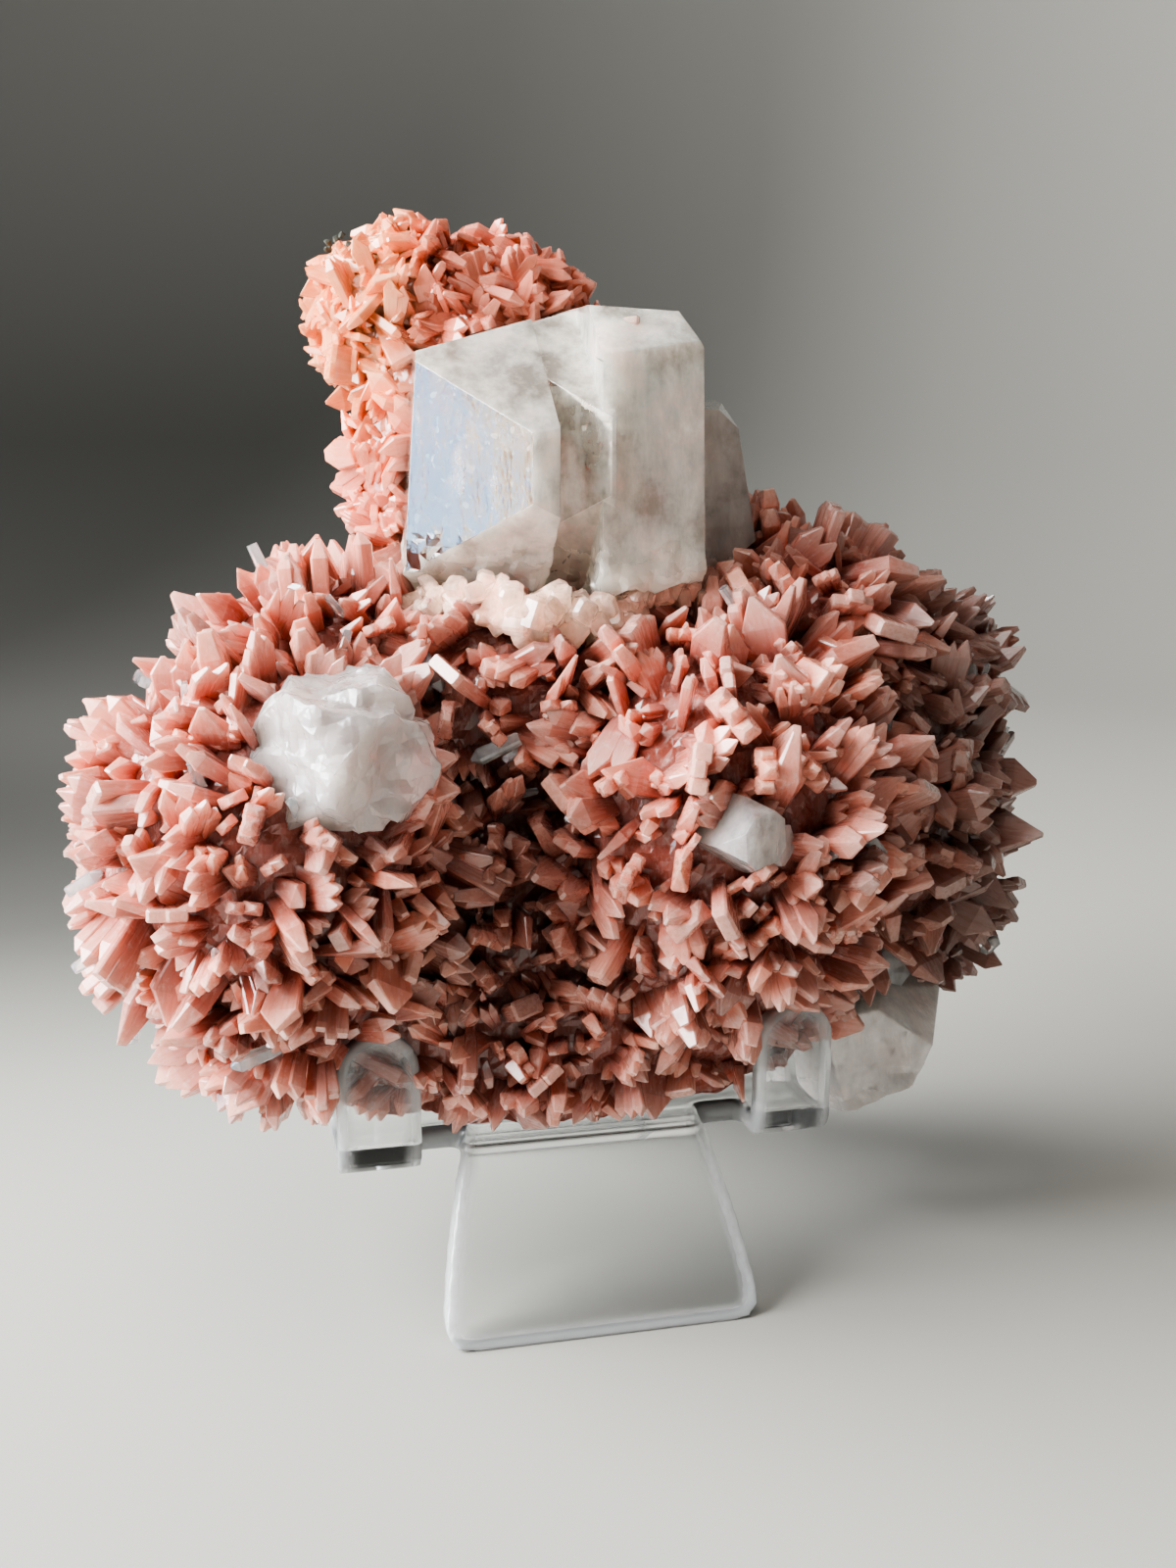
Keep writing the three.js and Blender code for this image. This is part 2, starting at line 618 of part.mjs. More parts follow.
// The tongue widens toward the table in a bell curve, with rounded corners at its foot
function tongueOutline() {
  const top = LEDGE_TOP + 1;
  const [head, foot] = [TONGUE_WIDTH / 2, FOOT_WIDTH / 2];
  const pull = [foot - TONGUE_BELL, top * TONGUE_WAIST];
  const shape = new THREE.Shape();
  shape.moveTo(-head, top);
  shape.quadraticCurveTo(-pull[0], pull[1], -foot, FOOT_CORNER);
  shape.quadraticCurveTo(-foot, 0, FOOT_CORNER - foot, 0);
  shape.lineTo(foot - FOOT_CORNER, 0);
  shape.quadraticCurveTo(foot, 0, foot, FOOT_CORNER);
  shape.quadraticCurveTo(pull[0], pull[1], head, top);
  return shape;
}

// The ledge and the foot of the rest are as wide as both hooks, then the rest narrows
function restOutline() {
  const foot = LEDGE_WIDTH / 2;
  const head = REST_WIDTH / 2;
  const shape = new THREE.Shape();
  shape.moveTo(-foot, -BEYOND);
  shape.lineTo(foot, -BEYOND);
  shape.lineTo(foot, LEDGE_TOP + SHOULDER_START);
  shape.quadraticCurveTo(foot - 1, LEDGE_TOP + SHOULDER_CURVE, head, SHOULDER_TOP);
  shape.lineTo(head, BEYOND);
  shape.lineTo(-head, BEYOND);
  shape.lineTo(-head, SHOULDER_TOP);
  shape.quadraticCurveTo(1 - foot, LEDGE_TOP + SHOULDER_CURVE, -foot, LEDGE_TOP + SHOULDER_START);
  return shape;
}

// Space beside the rear leg, which is as narrow as the rest's head all the way down
function besideRearLeg(side) {
  const inner = STAND_X + (side * REST_WIDTH) / 2;
  const outer = side * BEYOND;
  const low = [Math.min(inner, outer), REAR_LEG_START, -BEYOND];
  return box(low, [Math.max(inner, outer), BEYOND, SHOULDER_TOP + 1]);
}

function displayStand() {
  const tilt = radians(TONGUE_ANGLE);
  const drop = 4;
  const bendY = ledgeMid / Math.tan(tilt) + SHEET / 2 / Math.sin(tilt) + TOE_Y;
  const toeY = bendY - (ledgeMid + drop) / Math.tan(tilt);
  const apexY = restFoot + (REST_TOP - ledgeMid) * leanSlope;
  const rearSlope = (REAR_FOOT_Y - apexY) / REST_TOP;
  const ledgeEnd = [FRONT_HALF_END, ledgeMid];
  const ledgeStart = [BACK_HALF_START, ledgeMid];
  const hook = bentSheet([[HOOK_Y, HOOK_TOP], [HOOK_Y, ledgeMid], ledgeEnd], LEDGE_WIDTH);
  const tongue = bentSheet([ledgeEnd, [bendY, ledgeMid], [toeY, -drop]], FOOT_WIDTH);
  const rearToe = [REAR_FOOT_Y + rearSlope * drop, -drop];
  const rest = bentSheet([ledgeStart, [restFoot, ledgeMid], [apexY, REST_TOP], rearToe], LEDGE_WIDTH);
  const stand = joinAll([
    hook.intersect(frontOutline(hookOutline(-1))),
    hook.intersect(frontOutline(hookOutline(1))),
    tongue.intersect(frontOutline(tongueOutline())),
    rest.intersect(frontOutline(restOutline())).subtract(besideRearLeg(-1)).subtract(besideRearLeg(1)),
  ]);
  return stand.subtract(box([-BEYOND, -BEYOND, -BEYOND], [BEYOND, BEYOND, 0]));
}

// The assembly

const cluster = new THREE.Group();

function addPiece(name, manifold, look) {
  const mesh = new THREE.Mesh(geometryOf(manifold), new THREE.MeshStandardMaterial(look));
  mesh.name = name;
  cluster.add(mesh);
}

addPiece('stilbite_druse', stilbiteDruse(), { color: 0xd99282, roughness: 0.45, metalness: 0 });
addPiece('basalt_matrix', basaltPlate(), { color: 0x4d5148, roughness: 0.9, metalness: 0 });
clearCrystals.forEach((crystal, index) => {
  const look = { color: crystal.colour, roughness: 0.08, metalness: 0 };
  addPiece(crystal.name, clearCrystal(crystal, index), look);
});
addPiece('display_stand', displayStand(), { color: 0xeef2f2, roughness: 0.05, metalness: 0 });

// The origin is on the table, under the middle of the whole object
const bounds = new THREE.Box3().setFromObject(cluster);
const centre = bounds.getCenter(new THREE.Vector3());
cluster.position.set(-centre.x, -centre.y, -bounds.min.z);

export default cluster;
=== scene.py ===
"""Apophyllite cluster on its clear stand: the finished look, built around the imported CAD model."""

import math
from collections import namedtuple
from contextlib import contextmanager

import bmesh
import bpy
import numpy as np
from mathutils import Matrix, Vector, noise
from mathutils.bvhtree import BVHTree
from mathutils.kdtree import KDTree


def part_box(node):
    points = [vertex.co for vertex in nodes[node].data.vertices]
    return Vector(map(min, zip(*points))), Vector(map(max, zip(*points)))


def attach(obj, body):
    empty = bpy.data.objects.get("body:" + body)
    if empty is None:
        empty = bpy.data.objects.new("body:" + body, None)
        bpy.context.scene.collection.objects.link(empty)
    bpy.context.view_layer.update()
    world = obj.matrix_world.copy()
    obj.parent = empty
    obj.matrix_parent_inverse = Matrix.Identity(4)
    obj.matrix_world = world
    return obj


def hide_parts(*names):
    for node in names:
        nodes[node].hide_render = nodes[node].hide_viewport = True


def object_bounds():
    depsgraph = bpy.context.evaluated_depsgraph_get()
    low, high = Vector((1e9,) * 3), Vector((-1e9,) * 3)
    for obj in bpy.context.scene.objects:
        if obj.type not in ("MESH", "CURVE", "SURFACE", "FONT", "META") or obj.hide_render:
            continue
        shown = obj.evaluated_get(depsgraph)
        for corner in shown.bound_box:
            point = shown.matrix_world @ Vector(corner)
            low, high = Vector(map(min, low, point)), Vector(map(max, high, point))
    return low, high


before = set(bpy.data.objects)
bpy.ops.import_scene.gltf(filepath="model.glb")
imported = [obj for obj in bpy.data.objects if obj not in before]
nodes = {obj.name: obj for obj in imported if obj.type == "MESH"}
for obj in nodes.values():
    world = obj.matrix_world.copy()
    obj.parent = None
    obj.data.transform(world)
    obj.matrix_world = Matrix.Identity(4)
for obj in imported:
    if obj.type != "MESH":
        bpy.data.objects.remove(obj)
cad_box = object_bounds()

# Driving dimensions in millimetres, in the stand's frame: X to the right from the middle of the
# specimen, Y back from the foot's front edge, Z up from the table
MM = 0.001
STAND_X = 1.0
TOE_Y = -0.4
SHEET = 3.0
LEDGE_WIDTH = 62.0
LEDGE_TOP = 22.4
HOOK_WIDTH = 10.0
HOOK_TOP = 37.6
HOOK_Y = 9.3
TONGUE_WIDTH = 29.0
FOOT_WIDTH = 39.0
TONGUE_ANGLE = 61.0
LEAN = 25.0
REST_TOP = 80.0
REST_WIDTH = 44.0
SHOULDER_TOP = 46.0
REAR_FOOT_Y = 68.0
BEND_RADIUS = 2.4
GAP = 0.3
PLATE_THICKNESS = 6.6
REST_Y = 20.0

lean_slope = math.tan(math.radians(LEAN))
ledge_mid = LEDGE_TOP - SHEET / 2
rest_foot = REST_Y + SHEET / 2 / math.cos(math.radians(LEAN))
back_line_y = REST_Y - 2 * GAP - PLATE_THICKNESS

stand_low, stand_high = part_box("display_stand")
origin = Vector(((stand_low.x + stand_high.x) / 2 - STAND_X * MM, stand_low.y - TOE_Y * MM, 0))


def place(x, y, z):
    """A point of the stand's frame, in millimetres, as a point of the row frame, in metres."""
    return Vector((x, y, z)) * MM + origin


def to_row_frame(points):
    """Points of the stand's frame, in millimetres, as points of the row frame, in metres."""
    return np.asarray(points, float) * MM + np.array(origin)


def to_stand_frame(points):
    """Points of the row frame, in metres, as points of the stand's frame, in millimetres."""
    return (np.asarray(points, float) - np.array(origin)) / MM


# The CAD model's box in the stand's frame, a hair's width inside
BOX_MARGIN = 0.06
BOX_LOW = to_stand_frame(cad_box[0]) + BOX_MARGIN
BOX_HIGH = to_stand_frame(cad_box[1]) - BOX_MARGIN


# Repeatable chance, and small helpers

SEED = 20
random = np.random.default_rng(SEED)


def between(low, high):
    return low + (high - low) * random.random()


def unit(vector):
    return vector / np.linalg.norm(vector)


def limited(value, low=0.0, high=1.0):
    return min(high, max(low, value))


def rise(value, start, width):
    """0 up to the start, and 1 from the width beyond it, which lies below it where it is negative."""
    return np.clip((value - start) / width, 0, 1)


# Objects and meshes

@contextmanager
def edited(mesh):
    """The mesh as a bmesh, which is written back afterwards."""
    work = bmesh.new()
    work.from_mesh(mesh)
    yield work
    work.to_mesh(mesh)
    work.free()


def shell_of(thing):
    """The object's surface, for rays and nearest points."""
    work = bmesh.new()
    work.from_mesh(thing.data)
    shell = BVHTree.FromBMesh(work)
    work.free()
    return shell


crystal_shells = {
    name: shell_of(thing) for name, thing in nodes.items() if name.startswith("apophyllite")
}


def is_inside(shell, spot):
    """True where a ray from the spot first meets a face from behind."""
    up = Vector((0.0, 0.0, 1.0))
    _, normal, _, distance = shell.ray_cast(spot, up)
    return distance is not None and normal.dot(up) > 0


def new_object(name, mesh):
    thing = bpy.data.objects.new(name, mesh)
    bpy.context.scene.collection.objects.link(thing)
    return thing


def mesh_object(name, vertices, faces):
    """A mesh from points in millimetres of the stand's frame."""
    mesh = bpy.data.meshes.new(name)
    mesh.from_pydata(to_row_frame(vertices).tolist(), [], faces)
    mesh.update()
    return new_object(name, mesh)


def copy_of_node(name, node):
    return new_object(name, nodes[node].data.copy())


def apply_modifier(thing, kind, **settings):
    modifier = thing.modifiers.new(kind, kind)
    for key, value in settings.items():
        setattr(modifier, key, value)
    bpy.context.view_layer.update()
    graph = bpy.context.evaluated_depsgraph_get()
    mesh = bpy.data.meshes.new_from_object(thing.evaluated_get(graph))
    thing.modifiers.clear()
    old = thing.data
    thing.data = mesh
    bpy.data.meshes.remove(old)


def merge_objects(name, things):
    """One object of several, whose meshes stay separate shells."""
    mesh = bpy.data.meshes.new(name)
    with edited(mesh) as merged:
        for thing in things:
            merged.from_mesh(thing.data)
            bpy.data.objects.remove(thing)
    return new_object(name, mesh)


def vertex_values(thing, key):
    """The coordinates (co) or the normals (normal) of the object's vertices."""
    values = np.empty(len(thing.data.vertices) * 3)
    thing.data.vertices.foreach_get(key, values)
    return values.reshape(-1, 3)


def set_coordinates(thing, co):
    thing.data.vertices.foreach_set("co", np.asarray(co, float).ravel())
    thing.data.update()


def add_attribute(mesh, name, values, kind="FLOAT", domain="POINT"):
    """Keeps a number or a vector for each point, or each face, of a mesh."""
    layer = mesh.attributes.new(name, kind, domain)
    key = "value" if kind == "FLOAT" else "vector"
    layer.data.foreach_set(key, np.array(values, np.float32).ravel())


def ring_sides(low, count):
    """The quads between a ring of points, whose first is low, and the ring after it."""
    return [
        (low + i, low + (i + 1) % count, low + count + (i + 1) % count, low + count + i)
        for i in range(count)
    ]


def bar_faces(start, count, rings):
    """The sides and both ends of a bar, whose points lie in rings of one count each."""
    faces = []
    for ring in range(rings - 1):
        faces += ring_sides(start + ring * count, count)
    top = start + (rings - 1) * count
    return faces + [tuple(range(top, top + count)), tuple(range(start + count - 1, start - 1, -1))]


def finish_piece(piece, material, slot, *replaced):
    piece.data.materials.clear()
    piece.data.materials.append(material)
    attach(piece, "root")
    for node in replaced:
        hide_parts(node)
    return piece


# Materials

def new_material(name):
    material = bpy.data.materials.new(name)
    material.use_nodes = True
    tree = material.node_tree
    shader = next(n for n in tree.nodes if n.type == "BSDF_PRINCIPLED")
    output = next(n for n in tree.nodes if n.type == "OUTPUT_MATERIAL")
    return material, tree, shader, output


def feed(tree, socket, value):
    """Links an output to the socket, or gives it a value: three numbers are an opaque colour."""
    if isinstance(value, bpy.types.NodeSocket):
        tree.links.new(value, socket)
    elif socket.type == "RGBA":
        socket.default_value = (*value, 1.0)
    else:
        socket.default_value = value


def set_inputs(tree, node, **inputs):
    for key, value in inputs.items():
        feed(tree, node.inputs[key.replace("_", " ")], value)


def add_node(tree, kind, **inputs):
    node = tree.nodes.new(kind)
    set_inputs(tree, node, **inputs)
    return node


def attribute_node(tree, name, output="Fac"):
    node = tree.nodes.new("ShaderNodeAttribute")
    node.attribute_name = name
    return node.outputs[output]


def stretched_noise(tree, source, stretch, **settings):
    """Noise over coordinates that are stretched along their axes."""
    if stretch:
        source = add_node(tree, "ShaderNodeMapping", Vector=source, Scale=stretch).outputs["Vector"]
    return add_node(tree, "ShaderNodeTexNoise", Vector=source, **settings).outputs["Fac"]


def noise_node(tree, scale, detail=4.0, roughness=0.55, stretch=None):
    """Noise in object space, with its scale in features per metre."""
    source = tree.nodes.new("ShaderNodeTexCoord").outputs["Object"]
    return stretched_noise(tree, source, stretch, Scale=scale, Detail=detail, Roughness=roughness)


def grain_noise(tree, scale, detail):
    """Noise that follows each blade's own axes, in features per millimetre."""
    source = attribute_node(tree, "grain", "Vector")
    return stretched_noise(tree, source, scale, Scale=1.0, Detail=detail, Roughness=0.6)


def ramp_node(tree, source, *stops):
    """A colour ramp of (position, colour) stops, where one number is a grey."""
    node = add_node(tree, "ShaderNodeValToRGB", Fac=source)
    ramp = node.color_ramp
    while len(ramp.elements) < len(stops):
        ramp.elements.new(0.5)
    for element, (position, colour) in zip(ramp.elements, stops):
        element.position = position
        element.color = (*colour, 1.0) if isinstance(colour, tuple) else (colour, colour, colour, 1.0)
    return node.outputs["Color"]


def mix_colours(tree, first, second, factor, blend="MIX"):
    node = tree.nodes.new("ShaderNodeMix")
    node.data_type = "RGBA"
    node.blend_type = blend
    sockets = [s for s in node.inputs if s.type == "RGBA"]
    sockets.append(next(s for s in node.inputs if s.type == "VALUE" and s.enabled))
    for socket, value in zip(sockets, (first, second, factor)):
        feed(tree, socket, value)
    return next(s for s in node.outputs if s.type == "RGBA")


def mapped(tree, source, start, end, low=0.0, high=1.0):
    """The source's values from low to high, carried over to those from start to end."""
    node = add_node(tree, "ShaderNodeMapRange", Value=source, From_Min=low, From_Max=high,
                    To_Min=start, To_Max=end)
    return node.outputs["Result"]


def multiply_add(tree, value, factor, base, clamped=False):
    """The value times a factor, on top of a base."""
    node = tree.nodes.new("ShaderNodeMath")
    node.operation = "MULTIPLY_ADD"
    node.use_clamp = clamped
    for socket, item in zip(node.inputs, (value, factor, base)):
        feed(tree, socket, item)
    return node.outputs["Value"]


def bump_node(tree, height, strength, distance):
    return add_node(tree, "ShaderNodeBump", Height=height, Strength=strength,
                    Distance=distance).outputs["Normal"]


def absorb(tree, output, colour, density):
    """Tints the light on its way through the body."""
    node = add_node(tree, "ShaderNodeVolumeAbsorption", Color=colour, Density=density)
    set_inputs(tree, output, Volume=node.outputs["Volume"])


def stilbite_material():
    """Translucent salmon blades with a wet gloss: darker and redder at the root, which is partly
    painted shade and painted glow deep among the blades, and greyer at the tip.
    """
    material, tree, shader, _ = new_material("stilbite")
    # Darker and redder toward the root: partly painted shade and painted glow of light scattered deep
    # among the blades
    along = ramp_node(
        tree, attribute_node(tree, "reach"),
        (0.0, (0.30, 0.08, 0.058)), (0.3, (0.61, 0.19, 0.138)),
        (0.7, (0.79, 0.33, 0.25)), (1.0, (0.80, 0.43, 0.35)))
    toned = ramp_node(
        tree, attribute_node(tree, "tone"),
        (0.0, (0.56, 0.62, 0.66)), (0.3, (0.80, 0.80, 0.82)),
        (0.65, (1.0, 0.98, 0.97)), (1.0, (1.08, 1.0, 0.92)))
    striped = grain_noise(tree, (1.6, 1.6, 0.2), 3.0)
    streaks = ramp_node(tree, striped, (0.3, (0.90, 0.86, 0.85)), (0.65, 1.0))
    specks = ramp_node(tree, grain_noise(tree, (1.1, 1.1, 0.9), 5.0), (0.54, 0.0), (0.72, 0.4))
    # Painted shade: dark grey-brown for the stilbite on the shaded right side and in the gully
    smoky = ramp_node(
        tree, noise_node(tree, 150.0, 3.0), (0.35, (0.15, 0.085, 0.068)), (0.65, (0.27, 0.195, 0.17)))
    # Orange of the tower's fibrous rim, partly its own colour and partly painted glow of light through it
    rim = ramp_node(
        tree, noise_node(tree, 240.0, 3.0), (0.4, (0.82, 0.23, 0.075)), (0.62, (0.91, 0.40, 0.20)))
    colour = mix_colours(tree, along, toned, 0.9, "MULTIPLY")
    colour = mix_colours(tree, colour, streaks, 0.5, "MULTIPLY")
    colour = mix_colours(tree, colour, (0.84, 0.62, 0.56), specks)
    # Painted shade on the right side and in the gully
    colour = mix_colours(tree, colour, smoky, attribute_node(tree, "painted_shade"))
    colour = mix_colours(tree, colour, (0.80, 0.21, 0.115), attribute_node(tree, "pale"))
    # Painted shade: the gully between the lobes darkened once more
    colour = mix_colours(tree, colour, (0.62, 0.46, 0.42), attribute_node(tree, "deep"), "MULTIPLY")
    # The rim's orange, partly its own and partly painted glow
    colour = mix_colours(tree, colour, rim, attribute_node(tree, "fibrous_rim_and_glow"))
    shader.subsurface_method = "BURLEY"
    set_inputs(
        tree, shader, Base_Color=colour, IOR=1.5, Coat_Weight=0.6, Coat_Roughness=0.06,
        Subsurface_Weight=0.55, Subsurface_Radius=(1.0, 0.5, 0.38), Subsurface_Scale=0.0022,
        Roughness=mapped(tree, striped, 0.16, 0.4, 0.3, 0.7),
        Normal=bump_node(tree, striped, 0.14, 0.0003))
    return material


# How much clearer a marked facet is, and how much rougher an etched root
FACET_GAIN = 0.7
ROOT_ROUGHNESS = 0.35


def crystal_material(name, tints, milk, cloud, sparkle, density, veil):
    """Clear crystal: glossy faces over a body that is clouded in patches and upright streaks, by
    transmission, IOR and absorption. Its root, marked by an attribute, is etched. The tints are those
    of the shaded, clear and included patches and of the root."""
    material, tree, shader, output = new_material(name)
    shaded, clear, included, root_tint = tints
    root = attribute_node(tree, "root")
    marks = noise_node(tree, 240.0, 4.0, 0.6, (1.3, 1.3, 0.5))
    clouds = noise_node(tree, 110.0, 6.0, 0.66)
    glints = noise_node(tree, 620.0, 3.0)
    patches = ramp_node(tree, clouds, (0.36, shaded), (0.5, clear), (0.6, included), (0.7, clear))
    body = mix_colours(tree, marks, clouds, 0.6)
    milky = mapped(tree, body, 1.0 - 0.5 * milk, 1.0 - 1.5 * milk, 0.38, 0.6)
    rough = mapped(tree, marks, cloud * 0.5, cloud * 1.6, 0.35, 0.7)
    shader.subsurface_method = "BURLEY"
    set_inputs(
        tree, shader, Base_Color=mix_colours(tree, patches, root_tint, root), IOR=1.535,
        Coat_Weight=1.0, Coat_Roughness=0.03, Coat_IOR=1.5,
        Subsurface_Weight=1.0, Subsurface_Radius=(1.0, 0.92, 0.82), Subsurface_Scale=0.006,
        Transmission_Weight=multiply_add(tree, attribute_node(tree, "facet"), FACET_GAIN, milky, True),
        Roughness=multiply_add(tree, root, ROOT_ROUGHNESS, rough),
        Normal=bump_node(tree, marks, 0.35, 0.0005),
        Coat_Normal=bump_node(tree, glints, sparkle, 0.0004))
    absorb(tree, output, veil, density)
    return material


def veil_material():
    """White and pinkish healed cracks, and white flakes that are painted glints."""
    material, tree, shader, _ = new_material("veils_and_glints")
    tinted = ramp_node(
        tree, attribute_node(tree, "tone"),
        (0.0, (0.93, 0.92, 0.88)), (0.6, (0.95, 0.90, 0.84)), (1.0, (0.82, 0.50, 0.42)))
    grain = noise_node(tree, 1500.0, 3.0)
    colour = mix_colours(tree, tinted, ramp_node(tree, grain, (0.3, 0.9), (0.6, 1.0)), 1.0, "MULTIPLY")
    set_inputs(tree, shader, Base_Color=colour, Transmission_Weight=0.45, IOR=1.25,
               Roughness=mapped(tree, grain, 0.15, 0.4))
    return material


def basalt_material():
    """Broken volcanic rock: greenish black, with pale specks and rusty patches."""
    material, tree, shader, _ = new_material("basalt")
    rock = noise_node(tree, 180.0, 8.0, 0.6)
    colour = ramp_node(
        tree, rock,
        (0.25, (0.018, 0.02, 0.016)), (0.5, (0.06, 0.066, 0.052)), (0.72, (0.14, 0.145, 0.115)))
    specks = ramp_node(tree, noise_node(tree, 620.0, 5.0, 0.7), (0.6, 0.0), (0.74, 0.7))
    rust = ramp_node(tree, noise_node(tree, 60.0, 7.0, 0.65), (0.54, 0.0), (0.72, 0.7))
    colour = mix_colours(tree, colour, (0.42, 0.41, 0.34), specks)
    colour = mix_colours(tree, colour, (0.24, 0.12, 0.07), rust)
    set_inputs(tree, shader, Base_Color=colour, Roughness=0.85, Normal=bump_node(tree, rock, 0.8, 0.001))
    return material


def clear_sheet_material():
    """Clear acrylic with a faint cool edge tint and soft handling haze."""
    material, tree, shader, output = new_material("clear_sheet")
    haze = noise_node(tree, 60.0, 4.0)
    set_inputs(
        tree, shader, Base_Color=ramp_node(tree, haze, (0.3, (0.97, 0.98, 0.98)), (0.7, 1.0)), IOR=1.49,
        Transmission_Weight=mapped(tree, attribute_node(tree, "edge"), 1.0, 0.62),
        Roughness=mapped(tree, haze, 0.0, 0.05))
    absorb(tree, output, (0.90, 0.96, 0.98), 2.0)
    return material


# Clear crystals, whose faces come from the CAD nodes

# Distance in metres at which points are one, and the least angles, in degrees, of an edge and of an
# edge that is worn
SAME_POINT = 2e-6
EDGE_ANGLE = 1.0
WORN_ANGLE = 12.0


def dressed_crystal(name, node, material, slot, bevel, root_top, depth):
    """The node's own faces, with its edges worn to a fine bevel and its root etched."""
    piece = copy_of_node(name, node)
    with edited(piece.data) as work:
        bmesh.ops.remove_doubles(work, verts=work.verts, dist=SAME_POINT)
        bmesh.ops.dissolve_limit(
            work, angle_limit=math.radians(EDGE_ANGLE), verts=work.verts, edges=work.edges)
    piece.data.shade_flat()
    apply_modifier(piece, "BEVEL", width=bevel * MM, segments=2, limit_method="ANGLE",
                   angle_limit=math.radians(WORN_ANGLE), use_clamp_overlap=True)
    etch_root(piece, root_top, depth)
    return finish_piece(piece, material, slot, node)


# Grid of an etched root, the height over which it fades out and how raggedly, in millimetres
ETCH_STEP = 0.8
ETCH_FADE = 5.0
RAGGED = 3.0

# X and Z on the large crystal's two bright kite-shaped faces, and how clean each is
BRIGHT_FACES = [(-12.5, 101.0, 0.85), (2.4, 101.0, 0.3)]
FACE_GAP = 0.3


def front_hit(x, z):
    """A place on the large crystal's front, and the normal there."""
    shell = crystal_shells["apophyllite_main"]
    return shell.ray_cast(place(x, -50, z), Vector((0.0, 1.0, 0.0)))[:2]


def mark_facets(piece):
    """Marks the clean, mirror-like faces, which are less clouded than the rest."""
    shares = np.zeros(len(piece.data.polygons))
    for x, z, share in BRIGHT_FACES:
        hit, normal = front_hit(x, z)
        for index, face in enumerate(piece.data.polygons):
            if abs((face.center - hit).dot(normal)) < FACE_GAP * MM and face.normal.dot(normal) > 0.98:
                shares[index] = share
    add_attribute(piece.data, "facet", shares, domain="FACE")


def etch_root(piece, top, depth):
    """Breaks the faces below a height into a fine grid and pits them, as a grown-on root is."""
    top_z = place(0, 0, top).z
    step = ETCH_STEP * MM
    fade = []
    with edited(piece.data) as work:
        bmesh.ops.triangulate(work, faces=work.faces)
        for axis in range(3):
            normal = Vector([float(i == axis) for i in range(3)])
            places = [v.co[axis] for v in work.verts]
            low = min(places)
            high = min(top_z, max(places)) if axis == 2 else max(places)
            for i in range(1, int((high - low) / step) + 1):
                faces = [f for f in work.faces if min(v.co.z for v in f.verts) < top_z]
                geometry = list({part for f in faces for part in (*f.verts, *f.edges)}) + faces
                bmesh.ops.bisect_plane(
                    work, geom=geometry, plane_co=normal * (low + i * step), plane_no=normal)
        for vertex in work.verts:
            ragged = (noise.noise(vertex.co * 260) - 0.7) * RAGGED * MM
            share = limited((top_z + ragged - vertex.co.z) / (ETCH_FADE * MM))
            fade.append(share)
            pits = noise.noise_vector(vertex.co * 420) + noise.noise_vector(vertex.co * 1100) * 0.5
            vertex.co += pits * (depth * MM * share)
        bmesh.ops.triangulate(work, faces=work.faces)
    piece.data.shade_flat()
    add_attribute(piece.data, "root", fade)


# Crystal, number of flakes, their size in millimetres, how strongly they gather at the root, and the
# share that is pink
VEILS = [
    ("apophyllite_main", 1500, (0.3, 2.0), 1.2, 0.15),
    ("apophyllite_left", 500, (0.3, 1.5), 0.4, 0.08),
    ("apophyllite_small", 60, (0.4, 1.3), 0.6, 0.15),
    ("apophyllite_back", 110, (0.6, 2.4), 0.6, 0.4),
    ("apophyllite_lower_right", 90, (0.5, 2.2), 1.0, 0.1),
    ("apophyllite_dome", 60, (0.4, 1.6), 0.5, 0.3),
]
FLAKE_THICKNESS = 0.05
FLAKE_CORNERS = 6
FLAKE_NARROWING = 0.7

# X and Z of the white flakes just under the large crystal's front faces, which are painted glints, and
# how they are drawn out
SPARKS = [
    (-6.7, 117.9), (-4.8, 115.5), (-13.2, 113.9), (0.9, 115.6), (2.1, 114.2), (5.1, 119.4), (3.3, 111.7),
    (3.4, 114.9), (5.0, 114.4), (8.4, 116.5), (-9.6, 115.2), (9.8, 108.0), (13.6, 104.5), (-2.2, 101.2),
    (0.4, 96.4), (-8.4, 92.6), (11.4, 94.2), (6.8, 100.6), (-11.6, 90.4), (3.2, 92.0),
]
SPARK_WAY = (0.9, -0.1, -0.42)
SPARK_DEPTH = 0.3


class Flakes:
    """Gathers thin many-sided flakes as one mesh."""

    def __init__(self):
        self.points = []
        self.faces = []
        self.tones = []

    def add(self, middle, facing, first, size, narrowing, tone):
        second = np.cross(facing, first)
        start = len(self.points)
        rim = []
        for corner in range(FLAKE_CORNERS):
            turn = 2 * math.pi * corner / FLAKE_CORNERS
            radius = size / 2 * between(0.45, 1.0)
            rim.append(middle + (first * math.cos(turn) + second * math.sin(turn) * narrowing) * radius)
        for side in (-0.5, 0.5):
            self.points += [p + facing * (side * FLAKE_THICKNESS) for p in rim]
        self.tones += [tone] * (2 * FLAKE_CORNERS)
        self.faces += bar_faces(start, FLAKE_CORNERS, 2)


